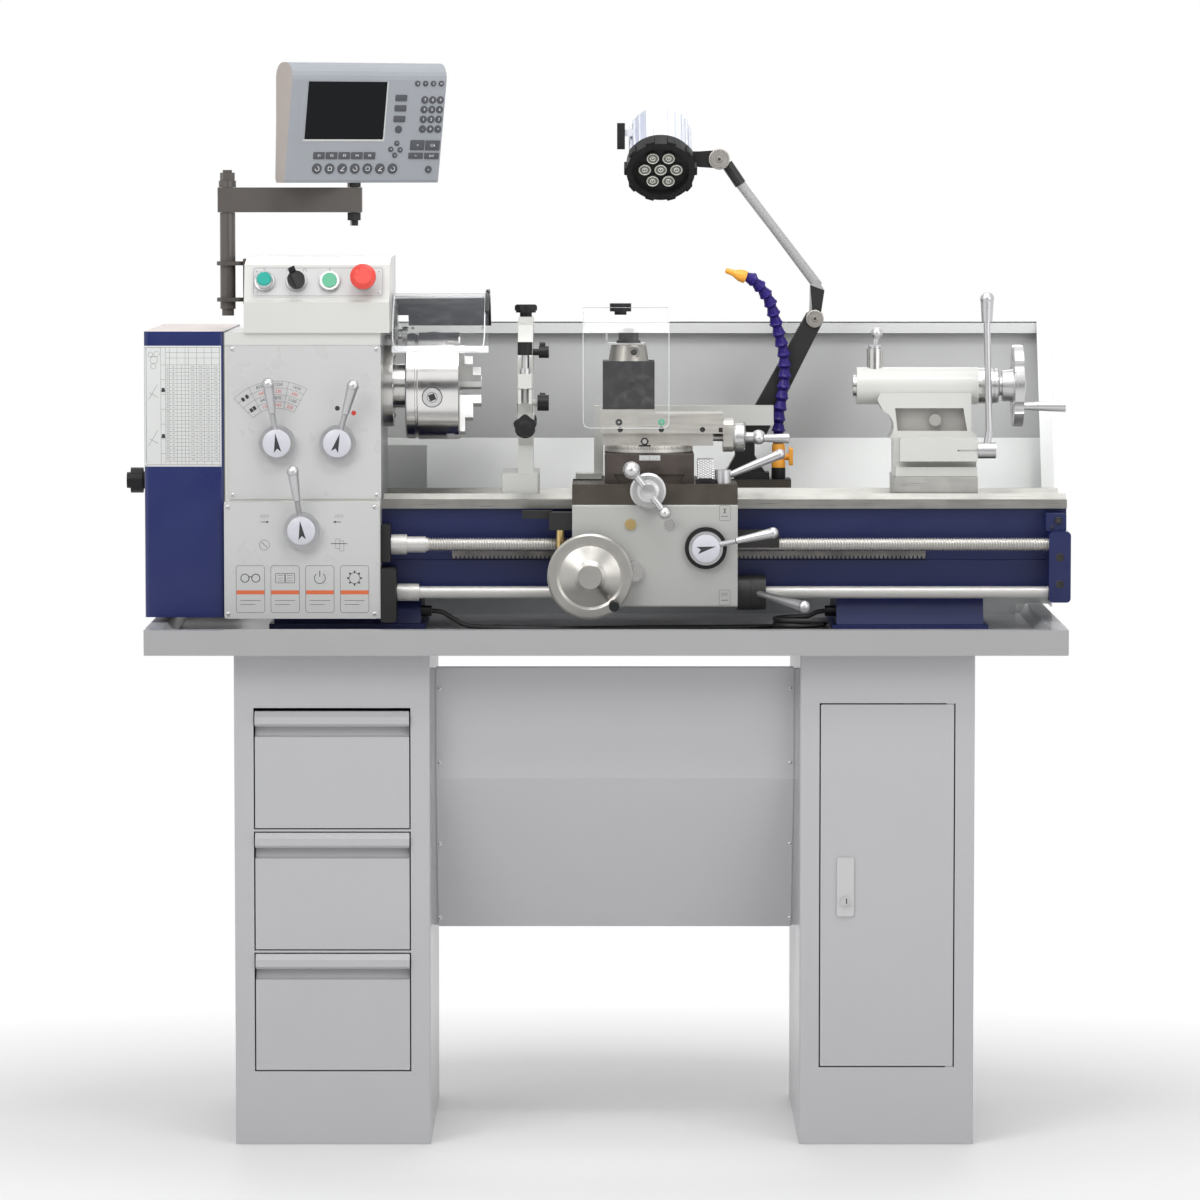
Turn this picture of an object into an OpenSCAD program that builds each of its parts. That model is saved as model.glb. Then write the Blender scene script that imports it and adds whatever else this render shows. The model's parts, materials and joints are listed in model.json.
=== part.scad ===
// Engine lathe of 330 mm swing on its cabinet stand, millimetres.
// X runs along the bed to the tailstock, Y away from the operator, Z up from the floor.

/* [Main sizes] */
// Height of the chip tray floor above the ground
stand_h = 748; // [700:1:800]
// Height of the spindle axis above the top of the bed
centre_height = 165; // [160:1:175]
// Length of the bed casting
bed_len = 1233; // [1225:1:1245]
// Width across the bed ways
bed_w = 206; // [200:1:212]
// Height of the bed casting, without its feet
bed_h = 146; // [140:1:152]
// Height of the two feet under the bed
foot_h = 48; // [40:1:56]

/* [Stand] */
// Length of the chip tray
tray_w = 1346; // [1330:1:1360]
// Depth of the chip tray
tray_d = 540; // [530:1:560]
// Height of the tray rim above its floor
tray_rim = 15; // [10:1:22]
// Depth of the tray skirt below its floor
tray_skirt = 22; // [15:1:30]
// Thickness of the sheet steel
sheet_t = 2; // [1.5:0.1:2.5]
// Width of the left cabinet
left_cab_w = 287; // [280:1:294]
// Width of the right cabinet
right_cab_w = 256; // [250:1:262]
// Depth of both cabinets
cab_d = 440; // [400:1:460]
// Distance from the tray's front edge back to the cabinets
cab_setback = 50; // [30:1:70]
// Width of a drawer front
drawer_w = 230; // [220:1:236]
// Height from one drawer to the next
drawer_pitch = 179; // [170:1:184]
// Height of the lowest drawer above the ground
drawer_z = 108; // [90:1:120]
// Depth of a drawer box
drawer_d = 380; // [340:1:390]
// Width of the cabinet door
door_w = 199; // [190:1:206]
// Height of the cabinet door
door_h = 538; // [520:1:560]
// Height of the door's lower edge above the ground
door_z = 114; // [100:1:130]
// Height of the knee panel's upper edge above the ground
panel_top = 701; // [690:1:715]
// Height of the knee panel's bend above the ground
panel_bend = 537; // [520:1:560]
// Height of the knee panel's lower edge above the ground
panel_low = 304; // [280:1:330]
// How far the knee panel leans back below its bend
panel_lean = 100; // [80:1:120]
// Height of the splash guard above the bed
guard_h = 255; // [235:1:265]

/* [Headstock] */
// Width of the headstock casing
head_w = 230; // [224:1:236]
// Depth of the headstock casing
head_d = 298; // [290:1:304]
// Height of the headstock casing above the spindle axis
head_top = 84; // [80:1:90]
// Thickness of the front plates
plate_t = 2; // [1:0.1:3]
// Depth of the feed gearbox in front of the bed
gearbox_proud = 60; // [56:1:66]
// Height of the feed gearbox
gearbox_h = 172; // [166:1:175]
// Width of the gear cover
cover_w = 116; // [112:1:122]
// Depth of the gear cover
cover_d = 385; // [375:1:390]
// Height of the gear cover
cover_h = 422; // [415:1:426]
// Radius of a gear lever's hub
lever_hub_r = 26.5; // [22:0.5:28]
// Reach of a gear lever from its hub centre
lever_reach = 92; // [80:1:94]
// Width of the switch box on the headstock
box_w = 214; // [200:1:220]
// Height of the switch box
box_h = 110; // [100:1:116]
// Depth of the switch box
box_d = 260; // [230:1:270]

/* [Spindle and chuck] */
// Radius of the spindle in its bearings
spindle_r = 33; // [30:0.5:36]
// Radius of the bore through the spindle
spindle_bore_r = 19; // [17:0.5:20]
// Diameter of the chuck
chuck_d = 160; // [150:1:164]
// Length of the chuck body
chuck_len = 65; // [60:1:68]
// Thickness of the chuck back plate
back_plate_t = 16; // [14:1:18]
// Radius at which the jaws meet the work
jaw_gap_r = 14; // [12:0.5:20]
// Travel of the jaws
jaw_travel = 20; // [10:1:20]
// Module of the change gears
gear_module = 2; // [1.9:0.02:2]
// Teeth on the spindle gear
spindle_teeth = 40; // [38:1:40]
// Teeth on the idler gear
idler_teeth = 94; // [90:1:94]
// Teeth on the gearbox input gear
input_teeth = 32; // [30:1:32]
// Width of the gear teeth
gear_face = 14; // [10:1:15]

/* [Carriage] */
// Length of the saddle along the bed
saddle_len = 244; // [240:1:250]
// Height of the saddle above the bed ways
saddle_h = 26; // [24:1:28]
// Depth of the apron front to back
apron_d = 52; // [50:1:56]
// Height of the apron
apron_h = 151; // [146:1:154]
// Radius of the leadscrew
leadscrew_r = 10; // [9:0.5:11]
// Radius of the feed rod
feed_rod_r = 9; // [8:0.5:10]
// Width of the cross slide
cross_w = 132; // [128:1:134]
// Length of the cross slide
cross_len = 240; // [230:1:246]
// Height of the cross slide
cross_h = 43; // [41:1:46]
// Radius of the swivel base
swivel_r = 65; // [60:1:65]
// Length of the top slide
top_len = 183; // [178:1:186]
// Width of the top slide
top_w = 80; // [76:1:84]
// Height of the top slide
top_h = 36; // [34:1:38]
// Side of the tool post block
post_side = 77; // [70:1:78]
// Height of the tool post block
post_h = 71; // [66:1:74]
// Radius of the carriage handwheel
wheel_r = 63; // [58:1:64]
// Radius of the cross slide dial
cross_dial_r = 26.5; // [24:0.5:28]
// Radius of the top slide dial
top_dial_r = 20; // [18:0.5:22]

/* [Tailstock] */
// Radius of the tailstock barrel
barrel_r = 28; // [26:0.5:30]
// Length of the tailstock barrel
barrel_len = 182; // [178:1:186]
// Radius of the quill
quill_r = 16.5; // [15:0.5:18]
// Radius of the socket in the quill
socket_r = 9; // [8:0.5:10]
// Depth of the socket in the quill
socket_d = 60; // [50:1:70]
// Height of the tailstock base
tail_base_h = 32; // [28:1:36]
// Length of the tailstock base
tail_base_len = 124; // [120:1:128]
// Radius of the tailstock handwheel
tail_wheel_r = 62; // [56:1:64]

/* [Fits] */
// Radial play of a shaft in its bearing
run_fit = 0.05; // [0.03:0.01:0.1]
// Gap between faces that slide on each other
gap = 0.3; // [0.2:0.05:0.4]
// Gap between parts that only pass each other
pass_gap = 1; // [0.6:0.1:1.5]

/* [Hidden] */
$fn = 48;

navy = [0.16, 0.22, 0.44];
casting = [0.84, 0.84, 0.82];
stand_grey = [0.70, 0.70, 0.71];
steel = [0.72, 0.72, 0.73];
ground = [0.42, 0.38, 0.36];
black = [0.10, 0.10, 0.11];

axis_y = 20;
tray_x = 9;
bed_x0 = -540;
bed_x1 = bed_x0 + bed_len;
bed_top = stand_h + foot_h + bed_h;
axis_z = bed_top + centre_height;
tray_front = -tray_d / 2;
tray_back = tray_front + tray_d;
cab_front = tray_front + cab_setback;
left_cab_x = -536;
right_cab_x = 293;
drawer_x = left_cab_x + (left_cab_w - drawer_w) / 2;
door_x = right_cab_x + (right_cab_w - door_w) / 2;
front_gap = 2;
hinge_x = door_x + door_w - front_gap - 5;

head_x1 = -324;
head_x0 = head_x1 - head_w;
head_front = -head_d / 2;
cover_front = head_front - plate_t;
cover_x0 = head_x0 - cover_w - plate_t;
gear_plate_x = head_x0 - plate_t;
gearbox_front = -bed_w / 2 - gearbox_proud;
cover_t = 2.5;
cover_x1 = head_x0 - gap;
cover_z1 = head_top + 2;
cover_z0 = cover_z1 - cover_h;
cover_back = cover_front + cover_d;
hinge_c = [head_x0 + 2, cover_back + 6];
guard_pivot = [60, 76];
screw_y = -bed_w / 2 - 21;
screw_z = -(centre_height + 65);
rod_z = screw_z - 71;
web_y = bed_w / 2 - 10;
web_t = 14;
way_t = 13;
way_w = 48;
flange = 4;
flange_drop = 90;

// --- helpers

// Puts its children in the frame of the spindle
module at_axis() { translate([0, axis_y, axis_z]) children(); }

// Puts its children in the frame of the bed's top
module at_bed() { translate([0, axis_y, bed_top]) children(); }

// Rectangle with round corners
function rounded(x0, x1, y0, y1, r, n = 5) = [
  for (c = [[x1 - r, y1 - r, 0], [x0 + r, y1 - r, 90], [x0 + r, y0 + r, 180], [x1 - r, y0 + r, 270]])
    for (i = [0:n]) [c[0] + r * cos(c[2] + 90 * i / n), c[1] + r * sin(c[2] + 90 * i / n)]
];

// Arc of points about a centre
function arc(c, r, a0, a1, n) = [for (i = [0:n]) c + r * [cos(a0 + (a1 - a0) * i / n),
  sin(a0 + (a1 - a0) * i / n)]];

module block(x, y, z) { translate([x[0], y[0], z[0]]) cube([x[1] - x[0], y[1] - y[0], z[1] - z[0]]); }
module rod_x(x, r, y = 0, z = 0) { translate([x[0], y, z]) rotate([0, 90,
  0]) cylinder(h = x[1] - x[0], r = r); }
module rod_y(y, r, x = 0, z = 0) { translate([x, y[1], z]) rotate([90, 0,
  0]) cylinder(h = y[1] - y[0], r = r); }
module rod_z(z, r, x = 0, y = 0) { translate([x, y, z[0]]) cylinder(h = z[1] - z[0], r = r); }
module profile_x(x, pts) { translate([x[0], 0, 0]) rotate([90, 0,
  90]) linear_extrude(x[1] - x[0]) polygon(pts); }
module profile_y(y, pts) { translate([0, y[1], 0]) rotate([90, 0,
  0]) linear_extrude(y[1] - y[0]) polygon(pts); }
module profile_z(z, pts) { translate([0, 0, z[0]]) linear_extrude(z[1] - z[0]) polygon(pts); }
module slab_x(x, y, z, r) { profile_x(x, rounded(y[0], y[1], z[0], z[1], r)); }
module slab_y(x, y, z, r) { profile_y(y, rounded(x[0], x[1], z[0], z[1], r)); }
module slab_z(x, y, z, r) { profile_z(z, rounded(x[0], x[1], y[0], y[1], r)); }

// Round bar that tapers from one point to another
module taper(p, q, r1, r2) {
  d = q - p;
  translate(p) rotate([0, acos(d[2] / norm(d)), atan2(d[1], d[0])]) cylinder(h = norm(d), r1 = r1,
    r2 = r2);
}

// --- stand

module chip_tray() {
  x0 = tray_x - tray_w / 2;
  x1 = x0 + tray_w;
  rim_w = 24;
  rim_slope = 12;
  color(stand_grey) difference() {
    slab_z([x0, x1], [tray_front, tray_back], [stand_h - tray_skirt, stand_h + tray_rim], 6);
    slab_z([x0 + sheet_t, x1 - sheet_t], [tray_front + sheet_t, tray_back - sheet_t],
        [stand_h - tray_skirt - 1, stand_h - sheet_t], 4);
    hull() {
      block([x0 + rim_w, x1 - rim_w], [tray_front + rim_w, tray_back - rim_w],
         [stand_h + tray_rim, stand_h + tray_rim + 1]);
      block([x0 + rim_w + rim_slope, x1 - rim_w - rim_slope],
         [tray_front + rim_w + rim_slope, tray_back - rim_w - rim_slope], [stand_h, stand_h + 1]);
    }
  }
}

// Sheet-metal carcass with one opening in its front
module cabinet(x0, w, open_x, open_w, open_z, open_h) {
  top = stand_h - sheet_t;
  difference() {
    slab_z([x0, x0 + w], [cab_front, cab_front + cab_d], [0, top], 3);
    block([x0 + sheet_t, x0 + w - sheet_t], [cab_front + sheet_t, cab_front + cab_d - sheet_t],
       [sheet_t, top - sheet_t]);
    block([open_x, open_x + open_w], [cab_front - 1, cab_front + sheet_t + 1],
      [open_z, open_z + open_h]);
  }
}

module knee_panel() {
  x0 = left_cab_x + left_cab_w;
  x1 = right_cab_x;
  y = cab_front + 40;
  t = sheet_t;
  fold = 18;
  profile_x([x0 + 8, x1 - 8], [
    [y, panel_top], [y, panel_bend], [y + panel_lean, panel_low],
    [y + panel_lean + fold, panel_low], [y + panel_lean + fold, panel_low + t],
    [y + panel_lean + t, panel_low + t], [y + t, panel_bend], [y + t, panel_top - t],
    [y + fold, panel_top - t], [y + fold, panel_top]
  ]);
  for (x = [x0, x1 - 8 - t]) profile_x([x, x + 8 + t], [
    [y + t, panel_top - t], [y + t, panel_bend], [y + panel_lean + t, panel_low + t],
    [y + panel_lean + fold, panel_low + t], [y + fold, panel_bend], [y + fold, panel_top - t]
  ]);
}

module cabinets() {
  color(stand_grey) {
    cabinet(left_cab_x, left_cab_w, drawer_x, drawer_w, drawer_z, 3 * drawer_pitch);
    // drawer rails and runners
    for (i = [1:2]) block([drawer_x, drawer_x + drawer_w], [cab_front, cab_front + 20],
               [drawer_z + i * drawer_pitch - 3, drawer_z + i * drawer_pitch]);
    for (i = [0:2], x = [left_cab_x + sheet_t, drawer_x + drawer_w - 16])
      block([x, x + drawer_x - left_cab_x + 16 - sheet_t],
        [cab_front + 19, cab_front + cab_d - sheet_t],
        [drawer_z + i * drawer_pitch + 1, drawer_z + i * drawer_pitch + front_gap + 4]);
    cabinet(right_cab_x, right_cab_w, door_x, door_w, door_z, door_h);
    knee_panel();
    // lugs and pins that the door swings on
    for (end = [-1, 1]) translate([0, 0, door_z + door_h / 2]) {
      mid = door_h / 2 - front_gap;
      translate([hinge_x, cab_front, 0]) rotate([90 - 90 * end, 0, 0]) {
        block([-6, 6], end > 0 ? [1, 9] : [-9, -1], [mid + gap, mid + 10]);
        rod_z([mid - 8, mid + 1], 2, 0, 3 * end);
      }
    }
  }
}

// Drawer with a folded pull along its top; i counts up from the lowest
module drawer(i) {
  z0 = drawer_z + i * drawer_pitch + front_gap;
  z1 = z0 + drawer_pitch - 3 - 2 * front_gap;
  x0 = drawer_x + front_gap;
  x1 = drawer_x + drawer_w - front_gap;
  y = cab_front;
  lip_h = 52;
  box_z = z0 + 4 + gap;
  color(stand_grey) difference() {
    union() {
      profile_x([x0, x1], [
        [y, z0], [y, z1 - lip_h + 14], [y + 8, z1 - lip_h + 16], [y + 14, z1 - 24], [y, z1 - 22],
        [y - 7, z1 - 18], [y - 7, z1 - 8], [y, z1], [y + 18, z1], [y + 18, z0]
      ]);
      block([x0 + 6, x1 - 6], [y + 18, y + drawer_d], [box_z, z1 - 30]);
    }
    block([x0 + 8, x1 - 8], [y + 20, y + drawer_d - sheet_t], [box_z + sheet_t, z1]);
    block([x0 + sheet_t, x1 - sheet_t], [y + sheet_t, y + 17], [z0 + sheet_t, z1 - lip_h]);
  }
}

module drawer_top() { drawer(2); }
module drawer_middle() { drawer(1); }
module drawer_bottom() { drawer(0); }

module cabinet_door() {
  x0 = door_x + front_gap;
  x1 = door_x + door_w - front_gap;
  z0 = door_z + front_gap;
  z1 = door_z + door_h - front_gap;
  y = cab_front;
  lock_z = door_z + 267;
  color(stand_grey) difference() {
    slab_y([x0, x1], [y, y + 16], [z0, z1], 2);
    block([x0 + sheet_t, x1 - sheet_t], [y + sheet_t, y + 17], [z0 + sheet_t, z1 - sheet_t]);
    rod_z([z0 - 1, z1 + 1], 2 + run_fit, hinge_x, y + 3);
  }
  color(steel) {
    slab_y([door_x + 26, door_x + 51], [y - 3, y], [lock_z - 43, lock_z + 44], 4);
    rod_y([y - 7, y - 3], 7, door_x + 38, lock_z - 20);
  }
}

// --- bed

// Straight rack with its teeth downwards, in the plane across the bed
function rack_outline(x0, count, m) = concat(
  [[x0 + count * PI * m, 0], [x0, 0]],
  [for (i = [0:count - 1], k = [0:3])
    [x0 + i * PI * m + PI * m * [0.08, 0.27, 0.73, 0.92][k], -(k == 0 || k == 3 ? 11 - 2.2 * m : 11)]]
);

rack_teeth = 112;
foot_len = 218;
right_foot_x = 351;
left_foot_x = -485;
front_vee = -78;
rear_vee = 66;
vee = 8;
rib_drop = 40;
gland_y = -80;
gland_z = 27;

// Rail on the operator's side; the other one is its mirror image
module bed_rail() {
  block([bed_x0, bed_x1], [-bed_w / 2, way_w - bed_w / 2], [-way_t, 0]);
  block([bed_x0, bed_x1], [-web_y, web_t - web_y], [-bed_h, -way_t]);
  block([bed_x0, bed_x1], [-web_y - flange, web_t - web_y + 10], [-bed_h, -flange_drop]);
}

// Foot with its front face the given distance before the bed's middle
module bed_foot(x, front) {
  back = bed_w / 2 + 14;
  low = -bed_h - foot_h;
  profile_x([x, x + foot_len], [[-front, low], [back, low], [back, low + 10],
                 [back - 12, -bed_h], [-front + 12, -bed_h], [-front, low + 10]]);
  block([x - 7, x + foot_len + 7], [-front - 7, back + 7], [low, low + 9]);
}

module bed() {
  color(navy) at_bed() {
    bed_rail();
    mirror([0, 1, 0]) bed_rail();
    for (y = [front_vee, rear_vee]) profile_x([head_x1 + 2, bed_x1], [[y - vee, 0], [y + vee, 0],
      [y, vee]]);
    block([bed_x0, head_x1], [-web_y + web_t, web_y - web_t], [-way_t, 0]);
    for (x = [-230:150:670]) block([x, x + 14], [-web_y + web_t, web_y - web_t], [-bed_h, -rib_drop]);
    block([bed_x1 - 14, bed_x1], [-web_y + web_t, web_y - web_t], [-bed_h, -10]);
    block([bed_x0, bed_x0 + 14], [-web_y + web_t, web_y - web_t], [-bed_h, -way_t]);
    bed_foot(left_foot_x, web_y - 1);
    bed_foot(right_foot_x, bed_w / 2 + 14);
    // cable glands on the facing sides of the two feet
    rod_x([left_foot_x + foot_len, left_foot_x + foot_len + 16], 8, gland_y, gland_z - bed_h - foot_h);
    rod_x([right_foot_x - 16, right_foot_x], 8, gland_y, gland_z - bed_h - foot_h);
  }
  color(steel) at_bed() translate([0, 0, -76]) profile_y([-web_y - 13, -web_y],
    rack_outline(-220, rack_teeth, 2));
}

module end_bracket() {
  x0 = bed_x1 - 29;
  color(navy) at_axis() difference() {
    union() {
      slab_y([x0, bed_x1 + 3], [screw_y - 20, -web_y - flange], [rod_z - 14, screw_z + 20], 6);
      slab_y([x0 - 4, bed_x1 - 3], [screw_y - 8, -bed_w / 2], [screw_z + 20, -centre_height - 19], 3);
    }
    rod_x([x0 - 1, bed_x1 + 4], leadscrew_r - 2 + run_fit, screw_y, screw_z);
    rod_x([x0 - 1, bed_x1 + 4], feed_rod_r - 2 + run_fit, screw_y, rod_z);
  }
}

module leadscrew() {
  color(steel) at_axis() {
    rod_x([head_x1 - 30, bed_x1 - 29 - gap], leadscrew_r, screw_y, screw_z);
    rod_x([bed_x1 - 30, bed_x1], leadscrew_r - 2, screw_y, screw_z);
    rod_x([head_x1 + 15, head_x1 + 38], 15, screw_y, screw_z);
    rod_x([head_x1 + 38, head_x1 + 66], 12, screw_y, screw_z);
  }
}

module feed_rod() {
  color(steel) at_axis() {
    rod_x([head_x1 - 30, bed_x1 - 29 - gap], feed_rod_r, screw_y, rod_z);
    rod_x([bed_x1 - 30, bed_x1], feed_rod_r - 2, screw_y, rod_z);
    rod_x([head_x1 + 24, head_x1 + 56], 13, screw_y, rod_z);
  }
}

module splash_guard() {
  back = tray_back - axis_y;
  t = sheet_t;
  x0 = -334;
  x1 = bed_x1 - 3;
  top = guard_h;
  low = stand_h - bed_top;
  slope_y = back - 46;
  wing_y = 108;
  rim_x = tray_x + tray_w / 2 - 42;
  rim_low = low + tray_rim + gap;
  color(stand_grey) at_bed() {
    for (s = [[x0, rim_x, low], [rim_x, x1, rim_low]]) profile_x([s[0], s[1]], [
      [back - 18, top], [back, top], [back, 74], [slope_y, -6], [slope_y, s[2]], [slope_y - t, s[2]],
      [slope_y - t, -5], [back - t, 75], [back - t, top - t], [back - 18, top - t]
    ]);
    // right-hand wing with its inward lip
    profile_x([x1, x1 + t], [
      [back, top], [back, 74], [slope_y, -6], [slope_y, rim_low], [slope_y - 60, rim_low],
      [wing_y, -6], [back - 18, top]
    ]);
    hull() {
      block([x1 - 18, x1], [wing_y, wing_y + t], [-6, -5]);
      block([x1 - 18, x1], [back - 20, back - 18], [top - 1, top]);
    }
    // bracket that ties the guard to the headstock
    block([x0, x0 + 68], [slope_y - 2 * t, slope_y - t], [-60, 66]);
    block([x0, x0 + t], [head_d / 2, slope_y - t], [-8, 66]);
  }
}

// --- headstock

lever_left = [-476, -78];
lever_right = [-387, -78];
lever_feed = [-439.5, -206];
shaft_r = 8;
knob_c = [-60, -138];
motor_y = 176;
motor_z = -228;
pulley_y = 96;
pulley_z = -42;
belt_x = [gear_plate_x - 62, gear_plate_x - 44];

module headstock_casing() {
  bottom = -centre_height;
  color(casting) at_axis() difference() {
    union() {
      slab_z([head_x0, head_x1], [head_front, -head_front], [bottom, head_top - 18], 4);
      slab_z([head_x0, head_x1 + 2], [head_front - 2, -head_front], [head_top - 18, head_top], 4);
    }
    rod_x([head_x0 - 1, head_x1 + 3], spindle_r + run_fit);
    rod_x([head_x0 - 1, head_x0 + 40], 12 + run_fit, pulley_y, pulley_z);
    for (p = [lever_left, lever_right]) rod_y([head_front - 1, head_front + 30],
      shaft_r + run_fit, p[0], p[1]);
  }
  // feed gearbox
  color(casting) at_axis() difference() {
    profile_x([head_x0, head_x1], [
      [gearbox_front, bottom - gearbox_h], [-web_y - flange, bottom - gearbox_h],
      [-web_y - flange, bottom - flange_drop], [-web_y, bottom - flange_drop], [-web_y, bottom - way_t],
      [-bed_w / 2, bottom - way_t], [-bed_w / 2, bottom], [gearbox_front, bottom]
    ]);
    rod_x([head_x1 - 31, head_x1 + 1], leadscrew_r + run_fit, screw_y, screw_z);
    rod_x([head_x1 - 31, head_x1 + 1], feed_rod_r + run_fit, screw_y, rod_z);
    rod_x([head_x0 - 1, head_x0 + 40], shaft_r + run_fit, input_c[0], input_c[1]);
    rod_y([gearbox_front - 1, gearbox_front + 30], shaft_r + run_fit, lever_feed[0], lever_feed[1]);
  }
  // front bearing cap
  color(steel) at_axis() difference() {
    rod_x([head_x1, head_x1 + 15], 61);
    rod_x([head_x1 - 1, head_x1 + 16], spindle_r + run_fit);
    for (a = [30:60:330]) rotate([a, 0, 0]) rod_x([head_x1 + 9, head_x1 + 16], 4, 0, 52);
  }
  // gear plate with the stud of the idler gear
  color(steel) at_axis() {
    difference() {
      block([gear_plate_x, head_x0], [cover_front + cover_t + gap,
        cover_back - cover_t - gap],
         [cover_z0 + cover_t + gap, cover_z1 - cover_t - gap]);
      rod_x([gear_plate_x - 1, head_x0 + 1], spindle_r + 2);
      rod_x([gear_plate_x - 1, head_x0 + 1], 14, pulley_y, pulley_z);
      rod_x([gear_plate_x - 1, head_x0 + 1], 12, input_c[0], input_c[1]);
      rod_x([gear_plate_x - 1, head_x0 + 1], 14, motor_y, motor_z);
    }
    rod_x([gear_x[0] - 6, gear_plate_x], 9, idler_c[0], idler_c[1]);
    rod_x([gear_x[1] + gap, gear_plate_x], 14, idler_c[0], idler_c[1]);
    // strap and pin of the gear cover's hinge
    block([head_x0, head_x0 + 3], [hinge_c[1] - 40, hinge_c[1]], [cover_z0 + 121, cover_z1 - 121]);
    rod_z([cover_z0 + 121, cover_z1 - 121], 5, hinge_c[0], hinge_c[1]);
    rod_z([cover_z0 + 18, cover_z1 - 18], 2.5, hinge_c[0], hinge_c[1]);
    rod_x([gear_x[0] - 10, gear_x[0] - pass_gap], 14, idler_c[0], idler_c[1]);
  }
  // fixed pivot of the chuck guard
  color(steel) at_axis() {
    rod_x([head_x1, head_x1 + 26], 8, guard_pivot[0], guard_pivot[1]);
    rod_x([head_x1 + 26, head_x1 + 34], 12, guard_pivot[0], guard_pivot[1]);
  }
  // blocks that hold both screws at the gearbox
  color(black) at_axis() {
    difference() {
      slab_y([head_x1, head_x1 + 14], [screw_y - 20, -web_y], [screw_z - 25, screw_z + 30], 2);
      rod_x([head_x1 - 1, head_x1 + 15], leadscrew_r + run_fit, screw_y, screw_z);
    }
    difference() {
      slab_y([head_x1, head_x1 + 23], [screw_y - 38, -web_y - flange], [rod_z - 42, rod_z + 38], 4);
      rod_x([head_x1 - 1, head_x1 + 24], feed_rod_r + run_fit, screw_y, rod_z);
    }
  }
}

module front_plates() {
  color("whitesmoke") at_axis() {
    difference() {
      slab_y([head_x0 + 6, head_x1 + 1], [head_front - plate_t, head_front],
        [-centre_height + 4, head_top - 18 - gap], 5);
      for (p = [lever_left, lever_right]) rod_y([head_front - plate_t - 1, head_front + 1],
        shaft_r + 1, p[0], p[1]);
    }
    difference() {
      slab_y([head_x0, head_x1 - 2], [gearbox_front - plate_t, gearbox_front],
          [-centre_height - gearbox_h, -centre_height - 1], 5);
      rod_y([gearbox_front - plate_t - 1, gearbox_front + 1], shaft_r + 1, lever_feed[0],
        lever_feed[1]);
    }
  }
}

// Lever on a round hub, leaning from the vertical by the given angle
module gear_lever(c, front, lean) {
  reach = lever_reach;
  at_axis() translate([c[0], front, c[1]]) rotate([0, lean, 0]) {
    color(steel) {
      rod_y([-14, -gap], lever_hub_r);
      rod_y([-17, -14], lever_hub_r - 5);
      rod_y([-1, 25], shaft_r);
      taper([0, -10, lever_hub_r - 5], [0, -24, lever_hub_r + 20], 4.5, 4.5);
      taper([0, -24, lever_hub_r + 20], [0, -36, reach - 3], 5.5, 8.5);
      translate([0, -36, reach - 3]) sphere(r = 9);
    }
  }
}
module speed_lever_left() { gear_lever(lever_left, head_front - plate_t, -7); }
module speed_lever_right() { gear_lever(lever_right, head_front - plate_t, 16); }
module feed_lever() { gear_lever(lever_feed, gearbox_front - plate_t, -7); }

module gear_cover() {
  t = cover_t;
  x0 = cover_x0;
  x1 = cover_x1;
  mid = [cover_z0 + 120, cover_z1 - 120];
  color(navy) at_axis() difference() {
    union() {
      slab_z([x0, x1], [cover_front, cover_back], [cover_z0, cover_z1], 6);
      rod_z([cover_z0 + 20, cover_z1 - 20], 5, hinge_c[0], hinge_c[1]);
      block([x1 - 3, x1 + 1], [cover_back - 1, hinge_c[1]], [cover_z0 + 20, cover_z1 - 20]);
    }
    slab_z([x0 + t, x1 + 9], [cover_front + t, cover_back - t], [cover_z0 + t, cover_z1 - t], 5);
    rod_x([x0 - 1, x0 + t + 1], 5 + run_fit, knob_c[0], knob_c[1]);
    rod_x([x0 - 1, x0 + t + 1], spindle_bore_r + 3);
    rod_z([cover_z0, cover_z1], 2.5 + run_fit, hinge_c[0], hinge_c[1]);
    block([x1 - 6, x1 + 15], [cover_back - t - 1, cover_back + 14], mid);
  }
}

module gear_cover_knob() {
  color(black) at_axis() translate([cover_x0, knob_c[0], knob_c[1]]) {
    rod_x([-9, -gap], 13);
    rod_x([-27, -9], 19);
    rod_x([-33, -27], 12);
    rod_x([-10, 30], 5);
  }
}

// --- gears and belt drive

gear_x = [gear_plate_x - 6 - gear_face, gear_plate_x - 6];
spindle_pr = gear_module * spindle_teeth / 2;
idler_pr = gear_module * idler_teeth / 2;
input_pr = gear_module * input_teeth / 2;
reach_a = spindle_pr + idler_pr;
reach_b = idler_pr + input_pr;
// the idler stands behind the line from the spindle to the gearbox shaft
gear_dist = reach_a + reach_b - 4;
toward = [-0.438, -0.899] / norm([0.438, 0.899]);
input_c = gear_dist * toward;
along = (reach_a * reach_a - reach_b * reach_b + gear_dist * gear_dist) / (2 * gear_dist);
aside = sqrt(reach_a * reach_a - along * along);
idler_c = along * toward + aside * [-toward[1], toward[0]];
idler_angle = atan2(idler_c[1], idler_c[0]);
input_angle = atan2(input_c[1] - idler_c[1], input_c[0] - idler_c[0]);
// turns that bring a tooth of one gear into a gap of the next
idler_phase = idler_angle + 180 + 180 / idler_teeth;
input_phase = input_angle + 180 + 180 / input_teeth
  + (input_angle - idler_phase) * idler_teeth / input_teeth;

function involute(rb, r) = sqrt(pow(r / rb, 2) - 1) * 180 / PI - acos(rb / r);

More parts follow.
